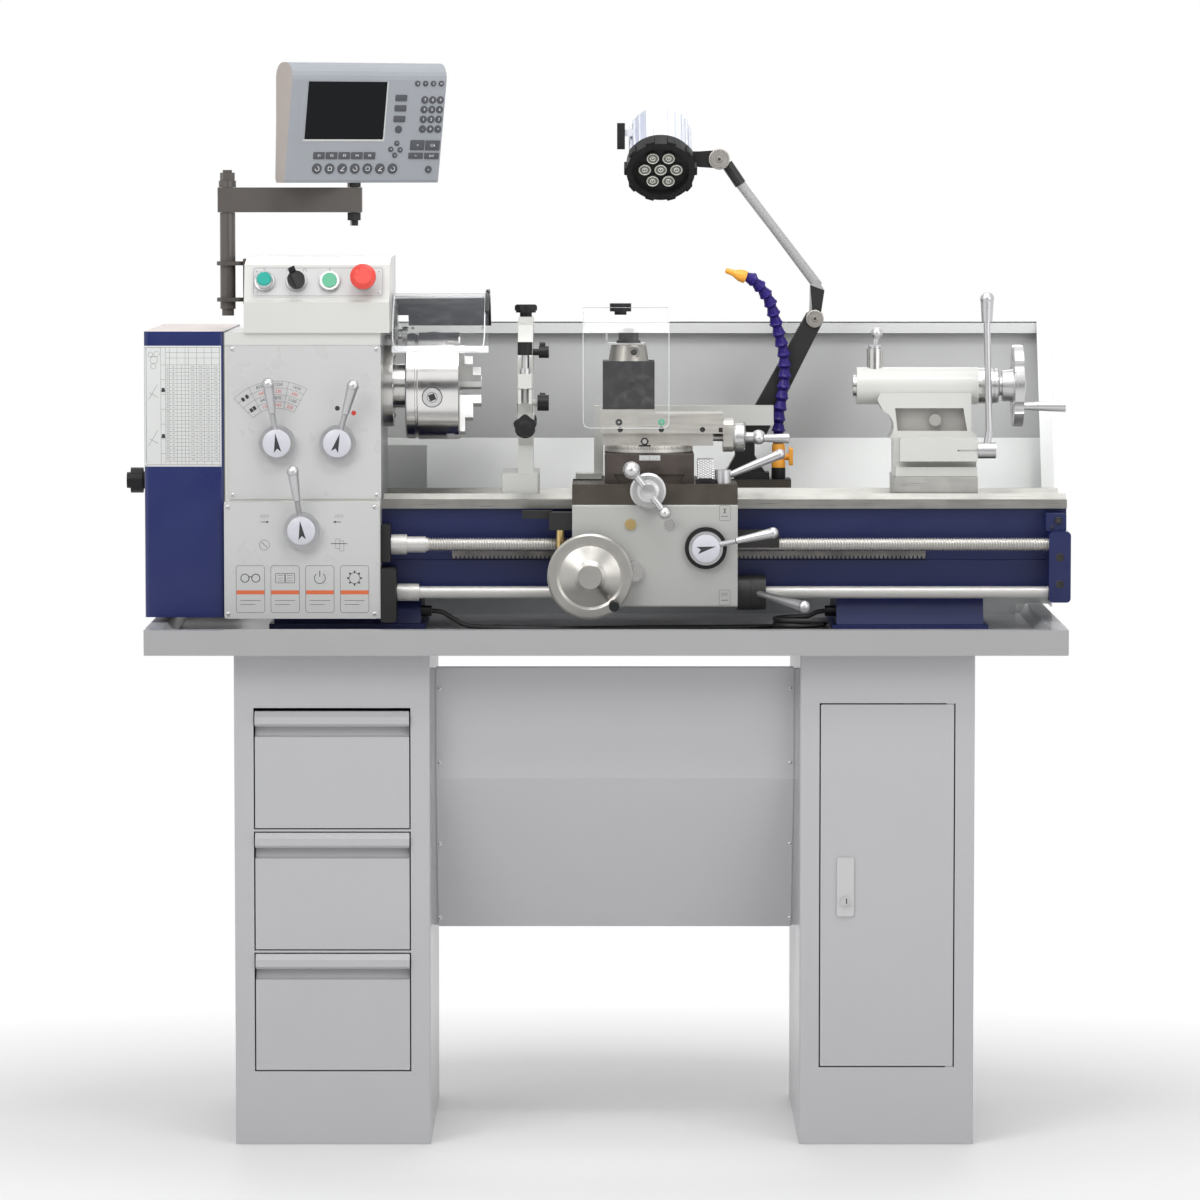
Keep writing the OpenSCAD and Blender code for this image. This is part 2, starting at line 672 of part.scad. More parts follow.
// Involute gear outline with a tooth on the +X axis
function gear_outline(teeth, m, play = 0.12) =
  let (rp = m * teeth / 2, rb = rp * cos(20), ra = rp + m, rf = rp - 1.25 * m)
  let (half = 90 / teeth - play / rp * 180 / PI + involute(rb, rp))
  let (rs = max(rb, rf) + 0.05)
  [for (i = [0:teeth - 1]) each concat(
    [[rf, -180 / teeth * 0.72], [rs, -half + involute(rb, rs)], [rp, -half + involute(rb, rp)],
      [ra, -half + involute(rb, ra)]],
    [[ra, half - involute(rb, ra)], [rp, half - involute(rb, rp)], [rs, half - involute(rb, rs)],
      [rf, 180 / teeth * 0.72]]
  )];

// The outline's polar points, turned to their own tooth
function gear_points(teeth, m) =
  let (polar = gear_outline(teeth, m))
  [for (k = [0:len(polar) - 1]) let (a = polar[k][1] + 360 / teeth * floor(k / 8))
    polar[k][0] * [cos(a), sin(a)]];

module gear(c, teeth, phase) {
  translate([gear_x[0], c[0], c[1]]) rotate([90, 0, 90]) linear_extrude(gear_face)
    rotate(phase) polygon(gear_points(teeth, gear_module));
}

module idler_gear() {
  color(steel) at_axis() difference() {
    gear(idler_c, idler_teeth, idler_phase);
    rod_x([gear_x[0] - 1, gear_x[1] + 1], 9 + run_fit, idler_c[0], idler_c[1]);
    for (a = [0:60:300]) translate([0, idler_c[0], idler_c[1]]) rotate([a, 0, 0])
      rod_x([gear_x[0] - 1, gear_x[1] + 1], 17, 0, 52);
  }
}

module input_gear() {
  color(steel) at_axis() {
    gear(input_c, input_teeth, input_phase);
    rod_x([gear_x[0] - 8, head_x0 + 38], shaft_r, input_c[0], input_c[1]);
  }
}

module pulley(x, c, r) {
  translate([x[0], c[0], c[1]]) rotate([90, 0, 90]) rotate_extrude()
    polygon([[0, 0], [r, 0], [r, 2], [r - 7, 6], [r - 7, x[1] - x[0] - 6], [r, x[1] - x[0] - 2],
      [r, x[1] - x[0]], [0, x[1] - x[0]]]);
}

module belt_outline(grow) {
  hull() {
    translate([pulley_y, pulley_z]) circle(r = 55 + grow);
    translate([motor_y, motor_z]) circle(r = 30 + grow);
  }
}

module drive_motor() {
  x0 = head_x0 + 8;
  x1 = head_x1 - 42;
  color([0.25, 0.28, 0.32]) at_axis() {
    rod_x([x0, x1], 58, motor_y, motor_z);
    for (a = [0:20:340]) translate([0, motor_y, motor_z]) rotate([a, 0, 0]) block([x0 + 20, x1 - 50],
      [-1.5, 1.5], [57, 64]);
    rod_x([x1, x1 + 26], 62, motor_y, motor_z);
    block([x0 + 40, x0 + 140], [web_y, motor_y - 40], [motor_z - 20, motor_z + 40]);
    rod_x([belt_x[0] - 4, x0], 11, motor_y, motor_z);
    pulley(belt_x, [motor_y, motor_z], 30);
  }
  color(steel) at_axis() {
    pulley(belt_x, [pulley_y, pulley_z], 55);
    rod_x([belt_x[0] - 6, head_x0 + 38], 12, pulley_y, pulley_z);
  }
  color(black) at_axis() translate([belt_x[0] + 6 + gap, 0, 0]) rotate([90, 0, 90])
    linear_extrude(belt_x[1] - belt_x[0] - 12 - 2 * gap) difference() {
      belt_outline(2);
      belt_outline(-7.5);
    }
}

// --- spindle and chuck

nose_x = head_x1 + 34;
chuck_x = nose_x + back_plate_t;
chuck_face = chuck_x + chuck_len;
chuck_r = chuck_d / 2;
jaw_angles = [130, 250, 10];
jaw_w = 18;
jaw_base_w = 26;
jaw_out = 31;

module spindle() {
  color(steel) at_axis() difference() {
    union() {
      rod_x([gear_x[0] - 8, head_x1 + 26], spindle_r - 1);
      rod_x([head_x0 + 1, nose_x], spindle_r);
      gear([0, 0], spindle_teeth, idler_angle);
    }
    rod_x([gear_x[0] - 9, nose_x + 1], spindle_bore_r);
  }
}

// Slot for a jaw, square to the face; grow widens it
module jaw_section(grow, r0, r1) {
  neck = jaw_w / 2 + grow;
  base = jaw_base_w / 2 + grow;
  block([chuck_face - 9 - grow, chuck_face + 1], [r0, r1], [-neck, neck]);
  block([chuck_face - 20 - grow, chuck_face - 9 + grow], [r0, r1], [-base, base]);
}

module chuck_body() {
  bore = spindle_bore_r + 1;
  color(steel) at_axis() difference() {
    translate([nose_x, 0, 0]) rotate([90, 0, 90]) rotate_extrude($fn = 96) polygon([
      [bore, 0], [chuck_r - 3, 0], [chuck_r - 1, 2], [chuck_r - 1, back_plate_t - 2],
      [chuck_r - 3, back_plate_t - 1], [chuck_r - 3, back_plate_t + 1], [chuck_r, back_plate_t + 3],
      [chuck_r, back_plate_t + chuck_len - 2], [chuck_r - 2, back_plate_t + chuck_len],
        [bore, back_plate_t + chuck_len]
    ]);
    for (a = jaw_angles) rotate([a, 0, 0]) jaw_section(gap, 0, chuck_r + 5);
    for (a = [190, 70, 310]) rotate([a, 0, 0]) {
      translate([chuck_x + 22, chuck_r - 22, 0]) rotate([-90, 0, 0]) cylinder(h = 30, r = 9);
      translate([chuck_x + 22, chuck_r - 34, 0]) rotate([-90, 0, 0]) cylinder(h = 20, r = 6, $fn = 4);
    }
  }
}

// Stepped jaw; its steps fall away from the chuck's middle
module chuck_jaw(i) {
  r0 = jaw_gap_r;
  color(ground) at_axis() rotate([jaw_angles[i], 0, 0]) intersection() {
    union() {
      jaw_section(0, r0, r0 + 60);
      block([chuck_face, chuck_face + jaw_out - 24], [r0, r0 + 60], [-jaw_w / 2, jaw_w / 2]);
      block([chuck_face, chuck_face + jaw_out - 12], [r0, r0 + 38], [-jaw_w / 2, jaw_w / 2]);
      block([chuck_face, chuck_face + jaw_out], [r0, r0 + 16], [-jaw_w / 2, jaw_w / 2]);
    }
    // the tip narrows so that three jaws can meet
    profile_x([chuck_face - 30, chuck_face + jaw_out + 1], [
      [r0, -jaw_w / 4], [r0 + jaw_w / 2, -jaw_w], [r0 + 70, -jaw_w], [r0 + 70, jaw_w],
        [r0 + jaw_w / 2, jaw_w], [r0, jaw_w / 4]
    ]);
  }
}
module chuck_jaw_1() { chuck_jaw(0); }
module chuck_jaw_2() { chuck_jaw(1); }
module chuck_jaw_3() { chuck_jaw(2); }

hood_c = [0, 10];
hood_r = 126;
hood_x = [head_x1 + 16, head_x1 + 159];

module chuck_guard() {
  t = 3;
  color([0.8, 0.85, 0.9, 0.5]) at_axis() {
    profile_x(hood_x, concat(arc(hood_c, hood_r, 48, 160, 24), arc(hood_c, hood_r + t, 160, 48, 24)));
    profile_x([hood_x[1] - 5, hood_x[1]], concat(arc(hood_c, hood_r + t, 62, 130, 12), arc(hood_c,
      hood_r + t + 6, 130, 62, 12)));
  }
  color(steel) at_axis() difference() {
    profile_x([hood_x[0], hood_x[0] + t], concat(
      arc(hood_c, hood_r, 44, 105, 10), arc(guard_pivot, 17, 150, 340, 10)));
    rod_x([hood_x[0] - 1, hood_x[0] + t + 1], 8 + run_fit, guard_pivot[0], guard_pivot[1]);
  }
}

// --- switch box and readout

box_x1 = head_x1 + 14;
box_x0 = box_x1 - box_w;
panel_tilt = 19.4;
panel_foot = [head_front - 1, head_top + 49];
panel_mid = panel_foot + 27 * [sin(panel_tilt), cos(panel_tilt)];
panel_top_y = panel_foot[0] + 54 * sin(panel_tilt);
panel_top_z = panel_foot[1] + 54 * cos(panel_tilt);

// Puts its children on the sloping panel, facing out
module on_panel(x) { at_axis() translate([x, panel_mid[0], panel_mid[1]]) rotate([90 - panel_tilt, 0,
  0]) children(); }

module ring_z(z, r0, r1) {
  translate([0, 0, z[0]]) difference() {
    cylinder(h = z[1] - z[0], r = r1);
    translate([0, 0, -1]) cylinder(h = z[1] - z[0] + 2, r = r0);
  }
}

pilot_x = -494;
selector_x = -447;
start_x = -398;
stop_x = -348;

module control_box() {
  color(casting) difference() {
    at_axis() profile_x([box_x0, box_x1], [
      [head_front - 7, head_top], [head_front - 7, head_top + 45],
        panel_foot, [panel_top_y, panel_top_z],
      [panel_top_y + 60, head_top + box_h], [head_front - 7 + box_d, head_top + box_h],
        [head_front - 7 + box_d, head_top]
    ]);
    for (x = [selector_x, start_x, stop_x]) on_panel(x) translate([0, 0, -22]) cylinder(h = 30,
      r = 6 + run_fit);
  }
  color(steel) {
    on_panel(pilot_x) translate([0, 0, -1]) cylinder(h = 6, r = 14.5);
    on_panel(selector_x) ring_z([-1, 8], 7, 14.5);
    on_panel(start_x) ring_z([-1, 9], 11 + run_fit, 14.5);
    on_panel(stop_x) ring_z([-1, 9], 7, 14.5);
  }
  color("turquoise") on_panel(pilot_x) translate([0, 0, 5]) {
    cylinder(h = 8, r = 13);
    translate([0, 0, 8]) cylinder(h = 4, r1 = 13, r2 = 9);
  }
}

module selector_switch() {
  color(black) on_panel(selector_x) {
    translate([0, 0, -20]) cylinder(h = 29, r = 6);
    translate([0, 0, 8 + gap]) cylinder(h = 7, r = 13);
    translate([0, 0, 14]) rotate(25) difference() {
      translate([-5, -13, 0]) cube([10, 30, 11]);
      translate([-6, 10, 6]) rotate([35, 0, 0]) cube([12, 20, 12]);
    }
  }
}

module start_button() {
  color("mediumseagreen") on_panel(start_x) {
    translate([0, 0, -18]) cylinder(h = 20, r = 6);
    translate([0, 0, 4]) cylinder(h = 7, r = 11);
    translate([0, 0, 1]) cylinder(h = 4, r = 6);
  }
}

module emergency_stop() {
  color("tomato") on_panel(stop_x) {
    translate([0, 0, -12]) cylinder(h = 29, r = 6);
    translate([0, 0, 16]) cylinder(h = 6, r1 = 12, r2 = 19);
    translate([0, 0, 22]) cylinder(h = 6, r = 19);
    translate([0, 0, 28]) cylinder(h = 4, r1 = 19, r2 = 13);
  }
}

dro_post = [-556, -20];
dro_pin_x = -367;
dro_arm_z = 260;
dro_arm_h = 37;
dro_yaw = 28;

module dro_bracket() {
  x = box_x0;
  z0 = 127;
  z1 = 187;
  ear = 6;
  color([0.33, 0.30, 0.28]) at_axis() {
    block([x - 8, x], [dro_post[1] - 22, dro_post[1] + 22], [z0 - 3, z1 + 4]);
    for (z = [z0, z1 - ear]) difference() {
      slab_z([dro_post[0] - 16, x - 8], [dro_post[1] - 16, dro_post[1] + 16], [z, z + ear], 8);
      rod_z([z - 1, z + ear + 1], 11.5, dro_post[0], dro_post[1]);
    }
    rod_z([z0 - 11, dro_arm_z - gap], 11.5, dro_post[0], dro_post[1]);
    rod_z([dro_arm_z - 1, dro_arm_z + dro_arm_h + gap], 8, dro_post[0], dro_post[1]);
    rod_z([dro_arm_z + dro_arm_h + gap, dro_arm_z + dro_arm_h + 10], 13, dro_post[0],
      dro_post[1]);
    translate([dro_post[0], dro_post[1], dro_arm_z + dro_arm_h + 10]) cylinder(h = 12, r = 11, $fn = 6);
    rod_z([dro_arm_z + dro_arm_h + 22, dro_arm_z + dro_arm_h + 26], 7, dro_post[0], dro_post[1]);
    rod_z([z0 - 21, z0 - 11], 9, dro_post[0], dro_post[1]);
  }
}

module dro_arm() {
  x0 = dro_post[0] - 14;
  x1 = dro_pin_x + 12;
  color([0.36, 0.33, 0.31]) at_axis() difference() {
    block([x0, x1], [dro_post[1] - 13, dro_post[1] + 13], [dro_arm_z, dro_arm_z + dro_arm_h]);
    rod_z([dro_arm_z - 1, dro_arm_z + dro_arm_h + 1], 8 + run_fit, dro_post[0], dro_post[1]);
    rod_z([dro_arm_z - 1, dro_arm_z + dro_arm_h + 1], 6 + run_fit, dro_pin_x, dro_post[1]);
  }
}

module dro_display() {
  low = dro_arm_z + dro_arm_h + 7;
  at_axis() translate([dro_pin_x, dro_post[1], 0]) rotate([0, 0, dro_yaw]) {
    color([0.72, 0.73, 0.76]) difference() {
      translate([0, 0, low]) profile_x([-120, 134], concat(
        [[-12, 4], [-10, 0], [16, 0], [20, 6], [16, 90]], arc([-8, 154],
          24, -10, 90, 5), arc([-20, 156], 22, 90, 190, 6)));
      translate([0, 0, low + 88]) rotate([-9.6, 0, 0]) block([-100, 32], [-38, -24.5], [-35, 42]);
    }
    color(black) {
      rod_z([dro_arm_z - 20, low], 6);
      rod_z([dro_arm_z + dro_arm_h + gap, low], 10);
      translate([0, 0, dro_arm_z - 12]) cylinder(h = 12 - gap, r = 11, $fn = 6);
    }
  }
}

// --- steady rest

steady_x = [-122, -100];
steady_r = 72;
ring_r = 96;
lug_y = 107;
split = 0.5;

module steady_finger(a) {
  x = (steady_x[0] + steady_x[1]) / 2;
  rotate([a, 0, 0]) {
    translate([x, 40, 0]) rotate([-90, 0, 0]) cylinder(h = 60, r = 7);
    translate([x, ring_r - 4, 0]) rotate([-90, 0, 0]) cylinder(h = 14, r = 12);
    translate([x, ring_r + 10, 0]) rotate([-90, 0, 0]) cylinder(h = 7, r = 7);
    translate([x, ring_r + 17, 0]) rotate([-90, 0, 0]) cylinder(h = 12, r = 15, $fn = 24);
  }
}

// Half ring: side is 1 above the split, -1 below
module steady_half(side) {
  z = side > 0 ? [split, ring_r + 10] : [-ring_r - 10, -split];
  intersection() {
    difference() {
      rod_x(steady_x, ring_r);
      rod_x([steady_x[0] - 1, steady_x[1] + 1], steady_r);
    }
    block([steady_x[0] - 1, steady_x[1] + 1], [-ring_r - 1, ring_r + 1], z);
  }
  block([steady_x[0] + 1, steady_x[1] - 1], [-lug_y - 12, -ring_r + 8],
    side > 0 ? [split, 22] : [-22, -split]);
}

module steady_rest_base() {
  x = (steady_x[0] + steady_x[1]) / 2;
  foot_x = [x - 36, x + 20];
  drop = -centre_height;
  color(casting) at_axis() {
    difference() {
      union() {
        steady_half(-1);
        profile_x(steady_x, [[-46, drop + 36], [46, drop + 36], [40, -84], [-40, -84]]);
        slab_z(foot_x, [-66, 80], [drop + gap, drop + 37], 4);
        block([steady_x[0] + 1, steady_x[1] - 1], [ring_r - 8, lug_y], [-24, -split]);
        rod_x([steady_x[0] + 1, steady_x[1] - 1], 9, lug_y, 0);
      }
      rod_x([x - 4.5, x + 4.5], 10, lug_y, 0);
      block([x - 4.5, x + 4.5], [lug_y - 12, lug_y + 10], [-11, 10]);
      block([x - 5.5, x + 5.5], [-lug_y - 20, -lug_y + 6], [-30, 0]);
      translate([0, 0, drop]) vee_groove([foot_x[0] - 1, foot_x[1] + 1], rear_vee);
      for (a = [209, 331]) rotate([a, 0, 0]) translate([x, steady_r - 4, 0]) rotate([-90, 0,
        0]) cylinder(h = 30, r = 7);
    }
    // clamp plate under the ways and its bolt
    rod_z([drop - way_t - 12, drop + gap], 6, x - 8, 0);
    block([x - 24, x + 8], [-66, 66], [drop - way_t - 12, drop - way_t - gap]);
  }
  color(steel) at_axis() {
    for (a = [209, 331]) steady_finger(a);
    rod_x([steady_x[1], steady_x[1] + 14], 5, -81, -22);
    rod_x([steady_x[1] + 7, steady_x[1] + 24], 12, -81, -22);
    rod_x([steady_x[0] + 1, x - 4.5], 4, lug_y, 0);
    rod_x([x - 4.5, steady_x[1] - 1], 4, lug_y, 0);
  }
}

module steady_rest_top() {
  x = (steady_x[0] + steady_x[1]) / 2;
  color(casting) at_axis() difference() {
    union() {
      steady_half(1);
      slab_y([x - 11.5, x + 11.5], [-26, 26], [ring_r - 12, ring_r + 8], 3);
      block([x - 4.2, x + 4.2], [ring_r - 6, lug_y], [split, 9]);
      rod_x([x - 4.2, x + 4.2], 9, lug_y, 0);
    }
    rod_x([x - 6, x + 6], 4 + run_fit, lug_y, 0);
    rod_z([-1, 60], 4.5, x, -lug_y);
    rod_z([steady_r - 5, ring_r + 9], 7, x, 0);
  }
  color(steel) at_axis() {
    rod_z([40, ring_r + 8], 7, x, 0);
    rod_z([ring_r + 8, ring_r + 14], 9, x, 0);
    translate([x, 0, ring_r + 14]) cylinder(h = 12, r = 15, $fn = 24);
    // screw that closes the ring, with its knob
    rod_z([-21, 50], 4.5, x, -lug_y);
    rod_z([22, 30], 8, x, -lug_y);
    rod_z([50, 69], 11, x, -lug_y);
    rod_x([steady_x[1], steady_x[1] + 9], 5, -66, 53);
    rod_x([steady_x[1] + 9, steady_x[1] + 24], 9, -66, 53);
  }
}

// --- carriage

saddle_x = [-41, -41 + saddle_len];
saddle_front = -bed_w / 2 - 55;
cross_x = [7, 7 + cross_w];
cross_mid = (cross_x[0] + cross_x[1]) / 2;
cross_front = -132;
cross_back = cross_front + cross_len;
dove_h = 13;
dove_top = 52.5;
dove_low = 44.5;
apron_x = [saddle_x[0], saddle_x[1]];
apron_front = saddle_front - 2;
apron_top = -4;
swivel_c = [cross_mid, -62];
swivel_top = saddle_h + cross_h + 12;
top_z = swivel_top + 17;
top_x = [0, top_len];
post_c = [4 + post_side / 2, -62];
crank_z = saddle_h - 9;
crank_x = 70.7;
wheel_c = [-14.7, -108];
half_nut_c = [156, -67.5];
lock_c = [182, -130];
lamp_c = [222, 150];
valve_c = [272, 128];
lamp_plate_z = [4, 18];

// Dovetail across X, growing from z0 up; grow widens it on every side
module dovetail_y(y, mid, z0, h, top, low, grow) {
  profile_y(y, [[mid - low - grow, z0 - 0.01], [mid + low + grow, z0 - 0.01],
         [mid + top + grow, z0 + h + grow], [mid - top - grow, z0 + h + grow]]);
}

module vee_groove(x, y) {
  profile_x(x, [[y - vee - 1, -1], [y + vee + 1, -1], [y + vee + 1, gap],
    [y, vee + 2 * gap], [y - vee - 1, gap]]);
}

module saddle() {
  h = saddle_h;
  x = saddle_x;
  wing = 57;
  color(ground) at_bed() difference() {
    union() {
      profile_x(x, [[saddle_front, apron_top], [-bed_w / 2 - gap, apron_top],
        [-bed_w / 2 - gap, gap],
             [-bed_w / 2 + way_w, gap], [-bed_w / 2 + way_w, h], [saddle_front, h]]);
      block(x, [bed_w / 2 - way_w, bed_w / 2 + 7], [gap, h - 4]);
      block([x[0] + wing - 14, x[1] - wing], [-70, 70], [gap, h]);
      dovetail_y([-128, bed_w / 2 + 7], cross_mid, h, dove_h, dove_top, dove_low, 0);
    }
    vee_groove([x[0] - 1, x[1] + 1], front_vee);
    vee_groove([x[0] - 1, x[1] + 1], rear_vee);
    rod_y([saddle_front - 1, -60], 7 + run_fit, crank_x, crank_z);
    rod_z([h - 20, h + 1], 6 + run_fit, lock_c[0], lock_c[1]);
  }
  // plate behind the bed for the lamp and the coolant line
  color(black) at_bed() difference() {
    slab_z([150, 291], [bed_w / 2 + 7, 176], lamp_plate_z, 3);
    rod_z([lamp_plate_z[0] - 1, lamp_plate_z[1] + 1], 8 + run_fit, lamp_c[0], lamp_c[1]);
  }
  // scale cover behind the top slide, on its bracket
  color(casting) at_bed() {
    block([-37, 5], [58, 100], [h - 4, h + 4]);
    block([-9, 5], [72, 80], [h + 4, 132]);
    block([-9, 263], [80, 100], [102, 132]);
  }
  // scale reader beside the cross slide
  color(steel) at_bed() slab_z([144, 168], [-136, -106], [h, h + 36], 3);
}

module apron() {
  low = apron_top - apron_h;
  x = apron_x;
  back = apron_front + apron_d;
  color(casting) at_bed() difference() {
    slab_x(x, [apron_front, back], [low, apron_top], 3);
    rod_x([x[0] - 1, x[1] + 1], leadscrew_r + 0.5, screw_y, screw_z + centre_height);
    rod_x([x[0] - 1, x[1] + 1], feed_rod_r + 0.5, screw_y, rod_z + centre_height);
    rod_y([apron_front - 1, apron_front + 22], 8 + run_fit, wheel_c[0], wheel_c[1]);
    rod_y([apron_front - 1, apron_front + 22], 8 + run_fit, half_nut_c[0], half_nut_c[1]);
  }
  // oil plugs and the boss behind the handwheel
  color("goldenrod") at_bed() rod_y([apron_front - 3, apron_front], 8, 45, apron_top - 29);
  color(steel) at_bed() {
    rod_y([apron_front - 2, apron_front], 8, 103, apron_top - 29);
    rod_y([apron_front - 6, apron_front], 15, 50, -102);
  }
  // fixed half of the control lever's housing, and the thread dial block
  color(black) at_bed() {
    difference() {
      rod_x([x[1], x[1] + 20], 26, screw_y, rod_z + centre_height);
      rod_x([x[1] - 1, x[1] + 21], feed_rod_r + 0.5, screw_y, rod_z + centre_height);
    }
    difference() {
      block([x[1], x[1] + 62], [screw_y - 14, screw_y + 14], [screw_z + centre_height - 4,
        screw_z + centre_height + 22]);
      rod_x([x[1] - 1, x[1] + 63], leadscrew_r + 0.5, screw_y, screw_z + centre_height);
    }
    block([x[0] - 34, x[0]], [apron_front + 8, apron_front + 40], [apron_top - 38, apron_top - 12]);
    block([x[0] - 74, x[0] - 30], [apron_front + 22, apron_front + 34],
      [apron_top - 22, apron_top - 10]);
  }
  color("goldenrod") at_bed() rod_z([apron_top - 66, apron_top - 38], 6, x[0] - 18, apron_front + 16);
}

module carriage_handwheel() {
  r = wheel_r;
  a = -49;
  y = apron_front - 18;
  color(steel) at_bed() translate([wheel_c[0], y, wheel_c[1]]) {
    rotate([90, 0, 0]) rotate_extrude($fn = 96) polygon([
      [0, 0], [17, 0], [24, 8], [46, 4], [50, -4], [r - 3, -4], [r, -1], [r, 9], [r - 3, 12],
        [49, 12], [45, 10],
      [24, 20], [18, 24], [17, 32], [0, 32]
    ]);
    rod_y([-33, -32], 8);
    rod_y([0, 38], 8);
    rod_y([0, 17], 14);
    translate([54 * cos(a), 0, 54 * sin(a)]) {
      rod_y([-20, -10], 5);
      rod_y([-58, -20], 7.4);
    }
  }
}

module half_nut_lever() {
  tip = [98, -32, 24];
  color(black) at_bed() translate([half_nut_c[0], apron_front, half_nut_c[1]]) difference() {
    rod_y([-9, -gap], 31);
    rod_y([-10, -6], 25.5);
  }
  color(steel) at_bed() translate([half_nut_c[0], apron_front, half_nut_c[1]]) {
    rod_y([-15, -6], 25);
    rod_y([-17, -15], 20.5);
    rod_y([-1, 20], 8);
    taper([22, -12, 6], [45, -24, 12], 4.5, 4.5);
    taper([45, -24, 12], tip, 5, 8);
    translate(tip) sphere(r = 8.5);
  }
}

module cross_slide() {
  z0 = saddle_h + gap;
  z1 = saddle_h + cross_h;
  color(ground) at_bed() difference() {
    block(cross_x, [cross_front, cross_back], [z0, z1]);
    dovetail_y([cross_front - 1, cross_back + 1], cross_mid, saddle_h, dove_h, dove_top, dove_low,
      gap);
    rod_z([z1 - 15, z1 + 1], 10 + run_fit, swivel_c[0], swivel_c[1]);
  }
}

module cross_slide_crank() {
  y = apron_front;
  a = 128;
  ball = 40;
  color(steel) at_bed() translate([crank_x, y, crank_z]) {
    rotate([90, 0, 0]) translate([0, 0, 1]) rotate_extrude($fn = 64) polygon([
      [0, 0], [cross_dial_r, 0], [cross_dial_r, 11], [cross_dial_r - 3, 13], [17, 13], [16, 17],
        [12, 18], [11, 32], [0, 33]
    ]);
    rod_y([-2, 90], 7);
    translate([0, -27, 0]) rotate([0, -a, 0]) {
      rod_x([6, ball], 5);
      translate([ball, 0, 0]) sphere(r = 13);
      rod_x([-ball, -6], 5);
      translate([-ball, 0, 0]) sphere(r = 9.5);
    }
  }
}

module compound_base() {
  ring_h = 12;
  z0 = saddle_h + cross_h + gap;
  half = top_w / 2 - 7;
  x = [4, 168];
  color(casting) at_bed() {
    difference() {
      union() {
        rod_z([z0, swivel_top], swivel_r, swivel_c[0], swivel_c[1]);
        block(x, [swivel_c[1] - half, swivel_c[1] + half], [swivel_top - 1, top_z]);
        rod_z([z0 - 14, z0], 10, swivel_c[0], swivel_c[1]);
        dovetail_x(x, swivel_c[1], top_z, 9, 26, 20, 0);
      }
      rod_x([x[0] + 20, x[1] + 1], 6.5, swivel_c[1], top_z - 7);
    }
  }
}

// Dovetail along X, growing from z0 up
module dovetail_x(x, mid, z0, h, top, low, grow) {
  profile_x(x, [[mid - low - grow, z0 - 0.01], [mid + low + grow, z0 - 0.01],
    [mid + top + grow, z0 + h + grow], [mid - top - grow, z0 + h + grow]]);
}

module top_slide() {
  y = [swivel_c[1] - top_w / 2, swivel_c[1] + top_w / 2];
  z0 = top_z + gap;
  z1 = top_z + top_h;
  screw_zc = top_z - 7;
  end = top_x[1];
  color([0.75, 0.72, 0.66]) at_bed() difference() {
    union() {
      block([top_x[0], 81], y, [z0, z1]);
      block([81, end], y, [z0, z1 - 6]);
    }
    dovetail_x([top_x[0] - 1, end + 1], swivel_c[1], top_z, 9, 26, 20, gap);
    for (x = [30, 91, 152]) rod_y([y[0] - 1, y[0] + 8], 4, x, top_z + 6);
    for (x = [28, 91]) rod_y([y[0] - 1, y[0] + 10], 3, x, top_z + 17);
    rod_z([z1 - 14, z1 + 1], 9 + run_fit, post_c[0], post_c[1]);
  }
  color("gainsboro") at_bed() difference() {
    slab_x([end, end + 15], [swivel_c[1] - 25, swivel_c[1] + 25], [screw_zc - 21, screw_zc + 28], 12);
    rod_x([end - 1, end + 16], 6 + run_fit, swivel_c[1], screw_zc);
  }
}

module top_slide_crank() {
  screw_zc = top_z - 7;
  x = top_x[1] + 15 + gap;
  arm = 34;
  color(steel) at_bed() translate([x, swivel_c[1], screw_zc]) {
    rotate([90, 0, 90]) rotate_extrude($fn = 64) polygon([
      [0, 0], [top_dial_r, 0], [top_dial_r + 1, 4], [top_dial_r + 1, 16], [top_dial_r - 2, 18],
        [9, 18], [7.5, 20], [7.5, 32], [0, 32]
    ]);
    rod_x([-130, 1], 6);
    translate([38, 0, 0]) {
      sphere(r = 11);
      rotate([90, 0, 0]) cylinder(h = arm, r = 5);
      rotate([-90, 0, 0]) cylinder(h = arm, r = 4.5);
      translate([0, arm, 0]) sphere(r = 8);
      translate([0, -arm, 0]) sphere(r = 9);
      translate([0, -arm, 0]) rotate([0, 90, 0])
        rotate_extrude($fn = 32) polygon([[0, 0], [5, 0], [7.5, 44], [0, 46]]);
    }
  }
}

module tool_post() {
  z0 = top_z + top_h + gap;
  z1 = z0 + post_h;
  half = post_side / 2;
  x = post_c[0];
  y = post_c[1];
  color([0.22, 0.21, 0.23]) at_bed() difference() {
    block([x - half, x + half], [y - half + 3, y + half - 3], [z0, z1]);
    // dovetail grooves for the tool holders on the right and at the back
    profile_z([z0 - 1, z1 + 1], [[x + half - 11, y - 24], [x + half + 1, y - 19],
      [x + half + 1, y + 19], [x + half - 11, y + 24]]);
    profile_z([z0 - 1, z1 + 1], [[x - 24, y + half - 11], [x + 24, y + half - 11],
      [x + 19, y + half + 1], [x - 19, y + half + 1]]);
    rod_y([y - half, y - half + 20], 5, x + 6, z0 + 36);
  }
  color(steel) at_bed() {
    rod_z([z0 - 12, z0], 9, x, y);
    difference() {
      translate([x, y, z1]) cylinder(h = 24, r1 = 30, r2 = 26);
      rod_y([y - 40, y - 12], 5, x + 8, z1 + 13);
    }
    rod_z([z1 + 24, z1 + 30], 18, x, y);
    translate([x, y, z1 + 30]) cylinder(h = 13, r = 15, $fn = 6);
    rod_z([z1 + 43, z1 + 48], 8, x, y);
  }
}

